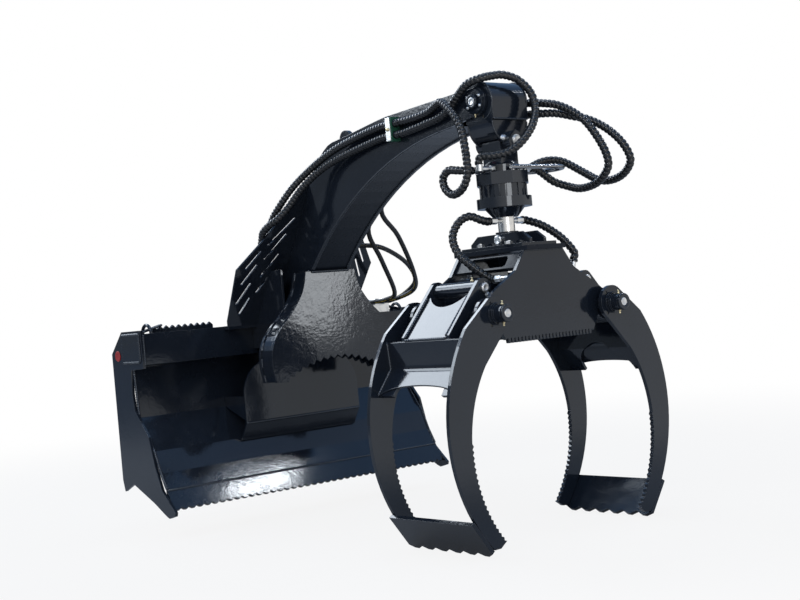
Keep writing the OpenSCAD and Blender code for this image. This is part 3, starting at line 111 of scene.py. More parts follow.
def make_camera():
    """Looks along the fitted direction; its axes are the image's right, the image's up and the way back."""
    back = Vector((math.sin(TURN) * math.cos(LIFT), -math.cos(TURN) * math.cos(LIFT), math.sin(LIFT)))
    level = Vector((math.cos(TURN), math.sin(TURN), 0))
    upright = back.cross(level)
    right = math.cos(ROLL) * level + math.sin(ROLL) * upright
    up = -math.sin(ROLL) * level + math.cos(ROLL) * upright
    data = bpy.data.cameras.new("photo_camera")
    data.sensor_width = 36
    data.lens = 61.03
    data.clip_start = 0.1
    data.clip_end = 60
    camera = bpy.data.objects.new("photo_camera", data)
    bpy.context.scene.collection.objects.link(camera)
    turn = Matrix((right, up, back)).transposed().to_4x4()
    camera.matrix_world = Matrix.Translation(CAMERA_AT) @ turn
    bpy.context.scene.camera = camera


make_camera()


# Shader maths
class Value:
    """One socket of a material's node tree; arithmetic on it adds Math nodes."""

    def __init__(self, finish, socket):
        self.finish = finish
        self.socket = socket

    def calc(self, operation, a, b):
        """A Math node on two values or numbers."""
        return self.finish.node("ShaderNodeMath", {"operation": operation}, {0: a, 1: b})

    def __add__(self, other):
        return self.calc("ADD", self, other)

    __radd__ = __add__

    def __mul__(self, other):
        return self.calc("MULTIPLY", self, other)

    __rmul__ = __mul__

    def __sub__(self, other):
        return self.calc("SUBTRACT", self, other)

    def __rsub__(self, other):
        return self.calc("SUBTRACT", other, self)

    def above(self, low, high):
        """0 below low, 1 above high and a smooth step between."""
        return self.finish.node(
            "ShaderNodeMapRange",
            {"interpolation_type": "SMOOTHSTEP"},
            {"Value": self, "From Min": low, "From Max": high},
        )


class Finish:
    """One material. node() adds any node with its settings first and its inputs next."""

    def __init__(self, name, **constants):
        self.material = bpy.data.materials.new(name)
        self.material.use_nodes = True
        self.tree = self.material.node_tree
        self.shader = self.tree.nodes["Principled BSDF"]
        self.give(constants)

    def node(self, kind, settings=None, inputs=None, output=0):
        """Adds a node and gives back its output of that number."""
        made = self.tree.nodes.new(kind)
        for key, value in (settings or {}).items():
            setattr(made, key, value)
        for key, value in (inputs or {}).items():
            self.feed(made.inputs[key], value)
        return Value(self, made.outputs[output])

    def feed(self, socket, value):
        """Links a value to the socket, or sets a constant on it."""
        if isinstance(value, Value):
            self.tree.links.new(value.socket, socket)
        else:
            socket.default_value = value

    def give(self, inputs):
        """Feeds the shader's inputs, named in lower case with underscores."""
        for key, value in inputs.items():
            name = key.replace("_", " ").title().replace("Ior", "IOR")
            self.feed(self.shader.inputs[name], value)
        return self

    def place(self, scale=(1, 1, 1)):
        """The object's own coordinates in metres, stretched by scale."""
        at = self.node("ShaderNodeTexCoord", output=3)
        return self.node("ShaderNodeMapping", {}, {"Vector": at, "Scale": scale})

    def uv(self, axis):
        """One coordinate of the UV map: 0 along the hose, 1 across it."""
        at = self.node("ShaderNodeTexCoord", output=2)
        return self.node("ShaderNodeSeparateXYZ", {}, {0: at}, output=axis)

    def noise(self, size, detail=2, rough=0.5, stretch=(1, 1, 1)):
        """Noise whose features are about size metres wide."""
        return self.node(
            "ShaderNodeTexNoise",
            {},
            {"Vector": self.place(stretch), "Scale": 1 / size, "Detail": detail, "Roughness": rough},
        )

    def mix(self, share, a, b):
        """Colour a where share is 0, and b where it is 1."""
        first = (*a, 1) if isinstance(a, tuple) else a
        inputs = {"Factor": share, 6: first, 7: (*b, 1)}
        return self.node("ShaderNodeMix", {"data_type": "RGBA"}, inputs, output=2)

    def worn_edge(self, radius):
        """The normal of an edge rounded to radius, and how far it leans from the flat face."""
        soft = self.node("ShaderNodeBevel", {"samples": 6}, {"Radius": radius})
        flat = self.node("ShaderNodeNewGeometry", output=1)
        lean = self.node("ShaderNodeVectorMath", {"operation": "DOT_PRODUCT"}, {0: soft, 1: flat}, output=1)
        return soft, 1 - lean

    def relief(self, height, depth, strength=1.0, under=None):
        """The normal bumped by height, depth metres at most, over the normal under it."""
        inputs = {"Height": height, "Distance": depth, "Strength": strength}
        if under is not None:
            inputs["Normal"] = under
        return self.node("ShaderNodeBump", {}, inputs)


# Tones of the paint: its two blacks, dust that lies on it, and an edge rubbed thin
DEEP_BLACK = (0.0072, 0.0096, 0.0140)
PALE_BLACK = (0.0135, 0.0172, 0.0240)
DUST = (0.060, 0.062, 0.064)
RUBBED = (0.105, 0.110, 0.118)


def powder_coat(name, edge, peel=0.08, gloss=0.62, blur=0.07):
    """Gloss black powder coat: orange peel, slow tone drift, a light film of dust and paler rubbed edges."""
    f = Finish(name, specular_ior_level=gloss, specular_tint=(0.90, 0.95, 1, 1), ior=1.45)
    soft, lean = f.worn_edge(edge)
    drift = f.noise(0.21, 3)
    skin = f.noise(0.0095, 1, 0.4) + 2.2 * f.noise(0.024, 2, 0.5)
    sag = f.noise(0.16, 1, 0.4)
    up = f.node("ShaderNodeSeparateXYZ", {}, {0: f.node("ShaderNodeNewGeometry", output=1)}, output=2)
    dust = up.above(0.35, 1.0) * f.noise(0.045, 5, 0.65).above(0.38, 0.8) * 0.25
    rub = lean.above(0.03, 0.22) * f.noise(0.012, 4, 0.7).above(0.42, 0.72)
    base = f.mix(drift, DEEP_BLACK, PALE_BLACK)
    base = f.mix(dust, base, DUST)
    base = f.mix(rub * 0.55, base, RUBBED)
    f.give({"base_color": base})
    f.give({"roughness": blur + 0.06 * f.noise(0.035, 4, 0.6) + 0.5 * dust + 0.3 * rub})
    f.give({"normal": f.relief(skin, 0.0010, peel, f.relief(sag, 0.007, peel, soft))})
    return f.material


def cut_steel(name, tone, rough, edge=0.0012, grain=(1, 1, 26)):
    """Turned or ground steel: fine grooves across one axis, faint stains and a soft edge."""
    f = Finish(name, metallic=1.0)
    soft, lean = f.worn_edge(edge)
    groove = f.noise(0.006, 3, 0.6, grain)
    stain = f.noise(0.018, 4, 0.6).above(0.45, 0.75)
    f.give({"base_color": f.mix(stain * 0.5, tone, tuple(c * 0.62 for c in tone))})
    f.give({"roughness": rough + 0.16 * groove + 0.15 * stain - 0.08 * lean.above(0.05, 0.3)})
    f.give({"normal": f.relief(groove, 0.0002, 0.35, soft)})
    return f.material


def wrapped_rubber(name, tone, shine):
    """Black plastic guard wound round a hose: scuffed crests that catch the light, dusty grooves."""
    f = Finish(name, specular_ior_level=0.5)
    crest = f.uv(1).above(0.35, 0.9)
    scuff = f.noise(0.004, 4, 0.7).above(0.50, 0.78)
    base = f.mix(crest * scuff * 0.5, tone, (0.045, 0.046, 0.049))
    f.give({"base_color": base})
    f.give({"roughness": shine + 0.12 * scuff - 0.08 * crest})
    f.give({"normal": f.relief(f.noise(0.0022, 2), 0.0001, 0.3)})
    return f.material


def striped_rubber(name):
    """Smooth hose cover with a thin broken yellow line along one side."""
    f = Finish(name)
    along = f.uv(0)
    across = f.uv(1)
    line = across.above(0.46, 0.47) * (1 - across.above(0.51, 0.52))
    dash = f.node("ShaderNodeMath", {"operation": "FRACT"}, {0: along * 9}).above(0.25, 0.27)
    base = f.mix(line * dash, (0.011, 0.011, 0.012), (0.52, 0.36, 0.06))
    f.give({"base_color": base, "roughness": 0.42 + 0.18 * f.noise(0.01, 4)})
    f.give({"normal": f.relief(f.noise(0.0016, 1), 0.0001, 0.5)})
    return f.material


def plastic(name, tone, rough):
    """Moulded plastic with a faint grain."""
    f = Finish(name)
    grain = f.noise(0.003, 3)
    f.give({"base_color": f.mix(grain, tone, tuple(c * 0.7 for c in tone))})
    f.give({"roughness": rough + 0.15 * grain, "normal": f.relief(grain, 0.0001, 0.4)})
    return f.material


paint = powder_coat("black_powder_coat", 0.0018)
bead_paint = powder_coat("weld_under_paint", 0.0004, 0.3, 0.9, 0.1)
# A copy of the paint that reflects less and more dully: painted shade, which darkens the boom's belly plate
# and the body shell
shaded_paint = powder_coat("black_paint_painted_shade", 0.0018, gloss=0.2, blur=0.25)
bell_paint = powder_coat("black_paint_bell", 0.0018, 0.24, blur=0.09)
casting_paint = powder_coat("rotator_gloss_black", 0.0012, 0.03, 0.9, 0.05)
steel = cut_steel("pin_steel", (0.78, 0.78, 0.77), 0.24)
shaft_steel = cut_steel("shaft_steel", (0.86, 0.85, 0.82), 0.14, grain=(1, 1, 40))
chrome = cut_steel("rod_chrome_plate", (0.74, 0.75, 0.77), 0.06, grain=(30, 1, 1))
zinc = cut_steel("zinc_plated", (0.82, 0.83, 0.82), 0.22, edge=0.0008, grain=(3, 3, 3))
polished = cut_steel("polished_black_bar", (0.30, 0.305, 0.315), 0.12, grain=(1, 1, 1))
brass = cut_steel("yellow_zinc", (0.80, 0.68, 0.42), 0.24, edge=0.0004, grain=(3, 3, 3))
guard = wrapped_rubber("wrapped_guard", (0.0085, 0.009, 0.0095), 0.23)
cover = striped_rubber("hose_cover")
red = plastic("red_cap", (0.42, 0.02, 0.015), 0.42)
green = plastic("green_clamp", (0.010, 0.085, 0.045), 0.45)
SLOT_FINISH = {
    "black_paint": paint,
    "bare_steel": steel,
    "rod_chrome": chrome,
    "zinc_plate": zinc,
    "hose_rubber": guard,
    "nipple_brass": brass,
    "red_plastic": red,
}
OWN_FINISH = {
    "rotor_shaft": shaft_steel,
    "hose_hoop": polished,
    "hose_clamps": green,
    "tie_link_left": paint,
    "tie_link_right": paint,
    # The belly plate and the body shell take the dimmer copy of the paint, as painted shade
    "boom_belly_plate": shaded_paint,
    "body_shell": shaded_paint,
    "rotator_housing": casting_paint,
    "rotator_cover": casting_paint,
    "bell_front_plate": bell_paint,
}
for part in frame["record"]["subparts"]:
    node = frame["nodes"][part["node"]]
    node.data.materials.clear()
    node.data.materials.append(OWN_FINISH.get(part["node"], SLOT_FINISH[part["material_slot"]]))


# Shapes
def grid_mesh(name, grids, material, body, uvs=None):
    """A piece from closed grids of points (ring, round, xyz).

    Quads join ring to ring and each end has a cap."""
    if isinstance(grids, np.ndarray):
        grids = [grids]
    faces = []
    smooth = []
    start = 0
    for points in grids:
        rings, sides = points.shape[:2]
        i, k = np.meshgrid(np.arange(rings - 1), np.arange(sides), indexing="ij")
        a = (start + i * sides + k).ravel()
        b = (start + i * sides + (k + 1) % sides).ravel()
        faces += np.stack([a, b, b + sides, a + sides], 1).tolist()
        faces.append(list(range(start, start + sides))[::-1])
        start += rings * sides
        faces.append(list(range(start - sides, start)))
        smooth += [True] * len(a) + [False] * 2
    mesh = bpy.data.meshes.new(name)
    mesh.from_pydata(np.concatenate([g.reshape(-1, 3) for g in grids]), [], faces)
    mesh.polygons.foreach_set("use_smooth", smooth)
    if uvs is not None:
        layer = mesh.uv_layers.new(name="along")
        loop = np.zeros(len(mesh.loops), np.int32)
        mesh.loops.foreach_get("vertex_index", loop)
        layer.data.foreach_set("uv", uvs.reshape(-1, 2)[loop].astype(np.float32).ravel())
    mesh.materials.append(material)
    return settle(name, mesh, body)


def settle(name, mesh, body):
    """Links the mesh as an object at the origin and lets it ride on its body."""
    mesh.update()
    piece = bpy.data.objects.new(name, mesh)
    bpy.context.scene.collection.objects.link(piece)
    if body:
        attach(piece, body)
    return piece


SPAN_STEPS = 6


def through(route, steps=SPAN_STEPS):
    """A smooth line through the route's points.

    Each span between two points is a cubic that leaves each of them along the line from its one neighbour
    to the other."""
    v = metres(route)
    padded = np.concatenate([v[:1], v, v[-1:]])
    t = (np.arange(steps) / steps)[None, :, None]
    a, b, c, d = (padded[i : len(v) - 1 + i][:, None] for i in range(4))
    line = 0.5 * (2 * b + (c - a) * t + (2 * a - 5 * b + 4 * c - d) * t**2 + (3 * b - a - 3 * c + d) * t**3)
    return np.concatenate([line.reshape(-1, 3), v[-1:]])


def evenly(line, step):
    """The line's points again, a whole number of equal steps apart, with the distance to each."""
    far = np.concatenate([[0], np.cumsum(np.linalg.norm(np.diff(line, axis=0), axis=1))])
    at = np.linspace(0, far[-1], max(3, int(round(far[-1] / step)) + 1))
    return np.stack([np.interp(at, far, line[:, i]) for i in range(3)], 1), at


def carried(line):
    """Two directions across the line at each point, carried along it without twist."""
    run = np.gradient(line, axis=0)
    run /= np.linalg.norm(run, axis=1)[:, None]
    side = np.cross(run[0], [0, 0, 1] if abs(run[0][2]) < 0.9 else [1, 0, 0])
    sides = []
    for direction in run:
        side = side - direction * (side @ direction)
        side = side / np.linalg.norm(side)
        sides.append(side)
    sides = np.array(sides)
    return sides, np.cross(run, sides)


def angles(count):
    """Equal steps once round, in radians."""
    return np.arange(count) * 2 * np.pi / count


def swept(line, radius):
    """Rings round the line; radius is an array (ring, round) in metres.

    A point is the line's point plus its radius times the cosine of the angle along one direction across
    the line and the sine along the other."""
    side, other = carried(line)
    angle = angles(radius.shape[1])
    ring = np.cos(angle)[None, :, None] * side[:, None] + np.sin(angle)[None, :, None] * other[:, None]
    return line[:, None] + ring * radius[..., None]


def guarded_hose(name, line, body, diameter=HOSE_D, pitch=16.5, around=18):
    """A hose in a wound guard: the radius follows a rounded ridge that climbs once round in each pitch.

    With t from 0 to 1 across the ridge, its height is sin(pi t) to the power 0.6, over a core of 78 %."""
    fine, at = evenly(line, pitch / 10 * MM)
    turn = (at[:, None] / (pitch * MM) - angles(around)[None] / (2 * np.pi)) % 1
    ridge = np.clip(np.sin(np.pi * np.clip(turn / 0.94, 0, 1)), 0, 1) ** 0.6
    points = swept(fine, diameter / 2 * MM * (0.78 + 0.22 * ridge))
    uv = np.stack([np.broadcast_to(at[:, None] * 10, ridge.shape), ridge], 2)
    return grid_mesh(name, points, guard, body, uv), fine


def smooth_hose(name, line, body, diameter=SUPPLY_D, around=20):
    """A plain hose: a round tube with its distance and turn in the UV map."""
    fine, at = evenly(line, 8 * MM)
    points = swept(fine, np.full((len(fine), around), diameter / 2 * MM))
    uv = np.stack(np.broadcast_arrays(at[:, None], (angles(around) / (2 * np.pi))[None]), 2)
    return grid_mesh(name, points, cover, body, uv), fine


def turned(profile, at, axis, sides=40, flats=0):
    """A turned shape in millimetres.

    Each row of profile is the distance along the axis, the radius and a hexagon's half width or 0. Where a
    hexagon is given, the radius is the smaller of the round one and the half width over the cosine of the
    angle from the middle of the nearest flat."""
    axis = Vector(axis).normalized()
    across = Vector((0, 0, 1)) if abs(axis.z) < 0.9 else Vector((1, 0, 0))
    other = axis.cross(across)
    angle = angles(sides)
    p = np.asarray([(*row, 0)[:3] for row in profile], float)
    wedge = np.pi / max(flats, 1)
    limit = 1 / np.cos((angle + wedge) % (2 * wedge) - wedge) if flats else 1 + 0 * angle
    radius = np.where(p[:, 2:3] > 0, np.minimum(p[:, 1:2], p[:, 2:3] * limit), p[:, 1:2])
    ring = np.cos(angle)[:, None] * np.array(across) + np.sin(angle)[:, None] * np.array(other)
    middle = np.asarray(at, float) + p[:, 0][:, None, None] * np.array(axis)
    return metres(middle + radius[..., None] * ring[None])


def plate(at, axis, up, size, thick, corner, edge=1.0):
    """A flat plate with rounded corners and a chamfered face: rounded rectangles stacked along the axis."""
    axis, up = Vector(axis).normalized(), Vector(up).normalized()
    side = up.cross(axis)
    turn = angles(32) + np.pi / 32
    rings = []
    for rise, inset in ((0, 0), (thick - edge, 0), (thick, edge)):
        half = np.array(size) / 2 - inset
        r = max(corner - inset, 0.2)
        x = np.sign(np.cos(turn)) * (half[0] - r) + r * np.cos(turn)
        y = np.sign(np.sin(turn)) * (half[1] - r) + r * np.sin(turn)
        rings.append(np.asarray(at, float) + rise * np.array(axis) + x[:, None] * side + y[:, None] * up)
    return metres(np.array(rings))


def bead(path, radius=3.2, pitch=6.5, stitch=0):
    """A weld bead: a round section whose radius swells once in each pitch, tilted like scales.

    The swelling is the absolute value of a sine, and the ends taper over one radius. With stitch, the bead
    is laid in runs of that length with gaps of the same length."""
    fine, at = evenly(metres(path), 1.2 * MM)
    phase = at[:, None] / (pitch * MM) + 0.12 * np.cos(angles(8))[None]
    scale = 0.82 + 0.18 * np.abs(np.sin(np.pi * phase))
    fade = np.clip(np.minimum(at, at[-1] - at) / (radius * MM), 0.15, 1) ** 0.5
    points = swept(fine, radius * MM * scale * fade[:, None])
    if not stitch:
        return [points]
    run = np.floor(at / (stitch * MM)).astype(int)
    return [points[run == n] for n in range(0, run[-1] + 1, 2) if (run == n).sum() > 4]


# Hose routes, the same as in the part's source
ROUTE_A_LOW = [
    [-155, -186, 335], [-155, -204, 335], [-156, -240, 352], [-160, -300, 420], [-175, -390, 530],
    [-200, -455, 620], [-212, -490, 685], [-223, -534, 726], [-217, -590, 776], [-196, -650, 835],
    [-172, -719, 885], [-152, -808, 931], [-135, -906, 966], [-122, -1034, 992], [-122, -1140, 1004],
    [-122, -1185, 1006], [-122, -1230, 1006], [-122, -1275, 1006],
]
ROUTE_B_LOW = [
    [-212, -186, 335], [-212, -204, 335], [-212, -240, 352], [-212, -300, 420], [-215, -380, 510],
    [-236, -440, 590], [-247, -476, 645], [-259, -506, 671], [-254, -541, 694], [-236, -588, 718],
    [-205, -625, 760], [-185, -680, 815], [-166, -740, 860], [-150, -810, 895], [-135, -899, 922],
    [-122, -1027, 946], [-122, -1135, 960], [-122, -1180, 963], [-122, -1225, 963], [-122, -1270, 963],
]
ROUTE_A = [
    [-122, -1275.3, 1006], [-122, -1344, 1006], [-122, -1430, 1014], [-132, -1489, 1029],
    [-146, -1535, 1034], [-160, -1587, 1003], [-167, -1630, 962], [-170, -1658, 909],
    [-172, -1671, 826], [-172, -1670, 759], [-174, -1640, 711], [-176, -1591, 695], [-174, -1550, 722],
    [-168, -1538, 762], [-165, -1566, 784], [-164, -1602, 780], [-154, -1632, 775], [-137, -1641, 774],
    [-118.6, -1641, 774],
]
ROUTE_B = [
    [-122, -1270.3, 963], [-122, -1292, 963], [-122, -1345, 968], [-122, -1425, 977],
    [-120, -1499, 988], [-120, -1548, 1008], [-121, -1596, 1044], [-121, -1652, 1078],
    [-104, -1704, 1090], [-52, -1712, 1100], [-10, -1726, 1102], [35, -1746, 1085], [65, -1768, 1048],
    [75, -1781, 1009], [66, -1793, 962], [25, -1808, 905], [-25, -1800, 852], [-66, -1772, 822],
    [-104, -1735, 814], [-124, -1702, 816], [-130, -1689, 804], [-130, -1689, 788.8],
]
ROUTE_C = [
    [122, -1280, 1000], [122, -1320, 1000], [122, -1360, 1000], [122, -1440, 1008], [126, -1530, 1018],
    [137, -1620, 1020], [140, -1700, 1010], [144, -1757, 1000], [160, -1809, 986], [180, -1858, 957],
    [200, -1905, 911], [220, -1941, 843], [230, -1960, 789], [238, -1957, 747], [244, -1921, 711],
    [250, -1872, 691], [254, -1802, 686], [250, -1745, 701], [220, -1706, 723], [184, -1693, 752],
    [158, -1689, 769], [138, -1689, 774], [118.6, -1689, 774],
]
ROUTE_D = [
    [122, -1280, 957], [122, -1320, 957], [122, -1360, 957], [122, -1440, 964], [126, -1530, 974],
    [137, -1620, 975], [140, -1690, 970], [147, -1742, 965], [178, -1789, 959], [213, -1837, 941],
    [242, -1880, 924], [266, -1935, 886], [284, -1980, 837], [302, -2000, 788], [312, -1995, 753],
    [320, -1955, 720], [326, -1895, 705], [326, -1830, 712], [322, -1758, 752], [298, -1692, 797],
    [262, -1660, 808], [222, -1645, 802], [180, -1641, 787], [156, -1641, 777], [138, -1641, 774],
    [118.6, -1641, 774],
]
ROUTE_C_LOW = [
    [122, -1279.7, 1000], [122, -1262, 1000], [122, -1173, 992], [122, -1034, 955], [124, -900, 850],
    [132, -806, 718], [290, -710, 618], [458, -590, 473], [560, -470, 395], [556, -350, 358],
    [520, -275, 350], [516, -258, 350], [516, -242, 350],
]
ROUTE_D_LOW = [
    [122, -1279.7, 957], [122, -1262, 957], [122, -1166, 942], [122, -1010, 880], [124, -850, 770],
    [132, -710, 653], [245, -640, 522], [417, -500, 385], [476, -370, 356], [466, -280, 350],
    [462, -258, 350], [462, -242, 350],
]
ROUTE_E_LOW = [
    [100.4, -560, 590], [114, -560, 590], [130, -564, 591], [165, -600, 592], [255, -640, 575],
    [469, -535, 510], [610, -420, 430], [606, -330, 372], [574, -275, 350], [570, -258, 350],
    [570, -242, 350],
]
ROUTE_LEFT = [
    [-80.6, -1665, 590], [-97, -1665, 590], [-122, -1661, 597], [-152, -1640, 612], [-178, -1615, 598],
    [-203, -1604, 560], [-214, -1612, 521], [-213, -1635, 480], [-198, -1672, 440], [-172, -1703, 404],
    [-152, -1724, 384], [-152, -1744, 384],
]
ROUTE_RIGHT = [
    [80.6, -1665, 590], [96, -1665, 590], [123, -1703, 572], [148, -1730, 549], [167, -1764, 517],
    [187, -1788, 479], [200, -1796, 452], [195, -1796, 441.4], [190, -1796, 424],
]


def split_hose(name, route, cut_at, swing, tilt, node):
    """A wrapped hose over both link pins, in two pieces that meet at the route's point cut_at.

    The first runs from the frame to the link, the second from the link to the rotator. Swing and tilt are
    not used."""
    line = through(route)
    cut = cut_at * SPAN_STEPS
    halves = [
        ("upper", line[: cut + 1], ("frame", "link"), swing),
        ("lower", line[cut:], ("link", "rotator"), tilt),
    ]
    for part, stretch, bodies, (start, end) in halves:
        piece, fine = guarded_hose(f"{name}_{part}", stretch, None)
        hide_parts(node)
        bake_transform(piece)


split_hose("hose_a", ROUTE_A, 8, ([0, -1300, 0], [0, -1640, 0]), ([0, 0, 822], [0, 0, 772]), "hose_loop_a")
split_hose("hose_b", ROUTE_B, 11, ([0, -1300, 0], [0, -1700, 0]), ([0, 0, 1060], [0, 0, 830]), "hose_loop_b")
split_hose("hose_c", ROUTE_C, 6, ([0, -1300, 0], [0, -1690, 0]), ([0, 0, 1000], [0, 0, 790]), "hose_loop_c")
split_hose("hose_d", ROUTE_D, 6, ([0, -1300, 0], [0, -1680, 0]), ([0, 0, 965], [0, 0, 812]), "hose_loop_d")
for hose, route, body, node in (
    ("boom_hose_a", ROUTE_A_LOW, "frame", "boom_hoses"),
    ("boom_hose_b", ROUTE_B_LOW, "frame", "boom_hoses"),
    ("grapple_hose_near", ROUTE_LEFT, "grapple", "grapple_hose_left"),
    ("grapple_hose_far", ROUTE_RIGHT, "grapple", "grapple_hose_right"),
):
    piece, fine = guarded_hose(hose, through(route), body)
    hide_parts(node)
for hose, route in (
    ("supply_hose_c", ROUTE_C_LOW),
    ("supply_hose_d", ROUTE_D_LOW),
    ("supply_hose_e", ROUTE_E_LOW),
):
    piece, fine = smooth_hose(hose, through(route), "frame")
    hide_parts("supply_hoses")


# Turned details: pin caps, nipples, fittings
def add(name, body, material, grids):
    """One piece of a body from its shapes, or from lists of shapes."""
    shapes = [g for group in grids for g in (group if isinstance(group, list) else [group])]
    return grid_mesh(name, shapes, material, body)


def cap(at, axis, radius, thick=2.5):
    """A pin's end: a low disc with a chamfer and a shallow dish."""
    c = min(1.6, thick * 0.4)
    return turned([(-0.5, radius), (thick - c, radius), (thick, radius - c), (thick, radius * 0.62),
        (thick - 0.7, radius * 0.54), (thick - 0.7, 0.01)], at, axis)


def collar(at, axis, outer, inner, thick, back=4.0):
    """A rim round a pin's end: out along the wall, over a rounded lip, and down the bore."""
    return turned([(-back, outer), (thick - 2, outer), (thick - 0.6, outer - 0.6), (thick, outer - 2.2),
        (thick, inner + 1), (thick - 0.8, inner), (0.6, inner - 0.2), (0.6, 0.01)], at, axis, 48)


def nipple(at, axis):
    """A grease nipple: hexagon foot, neck and ball tip."""
    return turned([(-1, 6, 5), (4, 6, 5), (4.6, 4.6, 0), (4.8, 2.8, 0), (8, 2.6, 0), (9, 3.6, 0),
        (11, 3.8, 0), (12.6, 2.8, 0), (13.2, 1.2, 0), (13.3, 0.01, 0)], at, axis, 24, 6)


def hex_head(at, axis, across=12.0, high=9.0, washer=15.0):
    """A flanged hexagon head with a domed top."""
    r = across / math.cos(math.pi / 6)
    return turned([(0, washer, 0), (2.0, washer, 0), (3.0, r, across), (high - 1.6, r, across),
        (high, across * 0.93, 0), (high + 0.2, 0.01, 0)], at, axis, 36, 6)


def hub_points():
    """The four outer ends of the tong hubs: hand, side and place of the hub's middle on its end face."""
    return [(hand, side, (x, AXIS_Y + side * HUB_END, TONG_Z))
        for hand, x in (("left", -HALF_SPAN), ("right", HALF_SPAN)) for side in (-1, 1)]


add("tong_pin_faces", "grapple", steel,
    [cap((at[0], at[1] + side * 6.2, at[2]), (0, side, 0), 15, 3) for hand, side, at in hub_points()])
for hand in HANDS:
    own = [(side, at) for word, side, at in hub_points() if word == hand]
    add(f"hub_rims_{hand}", f"tong_{hand}", paint,
        [collar((at[0], at[1] + side * 5.4, at[2]), (0, side, 0), 29.5, 15.5, 5, 6) for side, at in own])
    add(f"hub_nipples_{hand}", f"tong_{hand}", brass,
        [nipple((at[0], at[1] - side * 16, at[2] + up * 29.6), (0, 0, up))
            for side, at in own for up in (-1, 1)])
    x = -CYL_X if hand == "left" else CYL_X
    add(f"cylinder_pin_faces_{hand}", f"tong_{hand}", steel,
        [cap((x, AXIS_Y + side * EAR_END, CYL_Z), (0, side, 0), 15, 2) for side in (-1, 1)])
    inward = 1 if hand == "left" else -1
    add(f"ear_bolts_{hand}", f"tong_{hand}", zinc,
        [hex_head((x + inward * 14, AXIS_Y + side * 123, CYL_Z - 24), (0, side, 0), 7, 7, 10)
            for side in (-1, 1)])
for body, x in (("barrel", -CYL_X), ("rod", CYL_X)):
    add(f"{body}_nipple", body, brass, [nipple((x, AXIS_Y - 70, CYL_Z + 25.4), (0, 0, 1))])
for side, word in ((-1, "left"), (1, "right")):
    add(f"upper_pin_rim_{word}", "frame", paint,
        [collar((side * 117, AXIS_Y, PIN1_Z), (side, 0, 0), 25, 15.5, 5, 9)])
    add(f"upper_pin_face_{word}", "frame", steel,
        [cap((side * 118, AXIS_Y, PIN1_Z), (side, 0, 0), 15, 3)])
    add(f"ring_bolts_{word}", "frame", zinc,
        [hex_head((side * 108, AXIS_Y + 35 * math.cos(a), PIN1_Z + 35 * math.sin(a)),
            (side, 0, 0), 4.5, 5, 6) for a in np.radians([150, 210, 330, 30])])
for side, word in ((-1, "front"), (1, "rear")):
    add(f"lower_pin_face_{word}", "link", steel,
        [cap((0, AXIS_Y + side * 91, PIN2_Z), (0, side, 0), 17)])
    add(f"keeper_bolt_{word}", "link", zinc,
        [hex_head((-38, AXIS_Y + side * 62, PIN2_Z + 10), (0, side, 0), 9, 10, 13)])
add("head_pin_faces", "grapple", zinc,
    [cap((side * 51.2, AXIS_Y, HEAD_PIN_Z), (side, 0, 0), 16.5, 2.5) for side in (-1, 1)])
add("side_discs", "frame", red,
    [cap((side * (BLADE_W / 2 + 0.4), -52, 216), (side, 0, 0), 22, 2) for side in (-1, 1)])
add("clamp_plates", "frame", zinc,
    [plate((side * 141, y, z), (side, 0, 0), (0, 0, 1), (26, 88), 4, 3) for side, y, z in CLAMPS])
add("clamp_bolts", "frame", brass,
    [hex_head((side * 145, y, z), (side, 0, 0), 6, 6, 8) for side, y, z in CLAMPS])


def body_tooth(x, side):
    """One blunt tooth under a body plate: a tapering outline carried through the plate's thickness."""
    outline = [(-5.4, 22), (5.4, 22), (5.2, 11), (3.8, 3), (2.2, 0), (-2.2, 0), (-3.8, 3), (-5.2, 11)]
    y = AXIS_Y + side * BODY_GAP / 2
    depths = (PLATE_T / 2 - 0.2, 0.2 - PLATE_T / 2)
    return metres([[(x + u, y + depth, 162 + v) for u, v in outline] for depth in depths])


TOOTH_STEP = 16.81
add("body_teeth", "grapple", paint,
    [body_tooth(TOOTH_STEP * k - 218.5, side) for side in (-1, 1) for k in range(1, 26)])


def notched_web(hand, wide=106.5, long=183, dip=48, thick=6):
    """The web between a tong's ears: a sloping plate whose upper edge has a round notch for the cylinder.

    Its outline is a rectangle less an arc dip deep, and it is carried along the plate's normal."""
    foot = np.array([-424, AXIS_Y, 200])
    rise = np.array([0.672, 0, 0.741])
    out = np.array([-0.741, 0, 0.672])
    half = wide - 12
    radius = (half**2 + dip**2) / (2 * dip)
    reach = math.asin(half / radius)
    turn = np.linspace(reach, -reach, 24)
    arc = np.stack([radius * np.sin(turn), long + radius - dip - radius * np.cos(turn)], 1)
    outline = np.concatenate([[(-wide, 0), (wide, 0), (wide, long - 4), (wide - 4, long)], arc,
        [(4 - wide, long), (-wide, long - 4)]])
    rings = [foot + outline[:, 1:] * rise + outline[:, :1] * [0, 1, 0] + lift * out for lift in (-1, thick)]
    points = np.array(rings)
    if hand == "right":
        points[..., 0] *= -1
        points = points[:, ::-1]
    return metres(points)


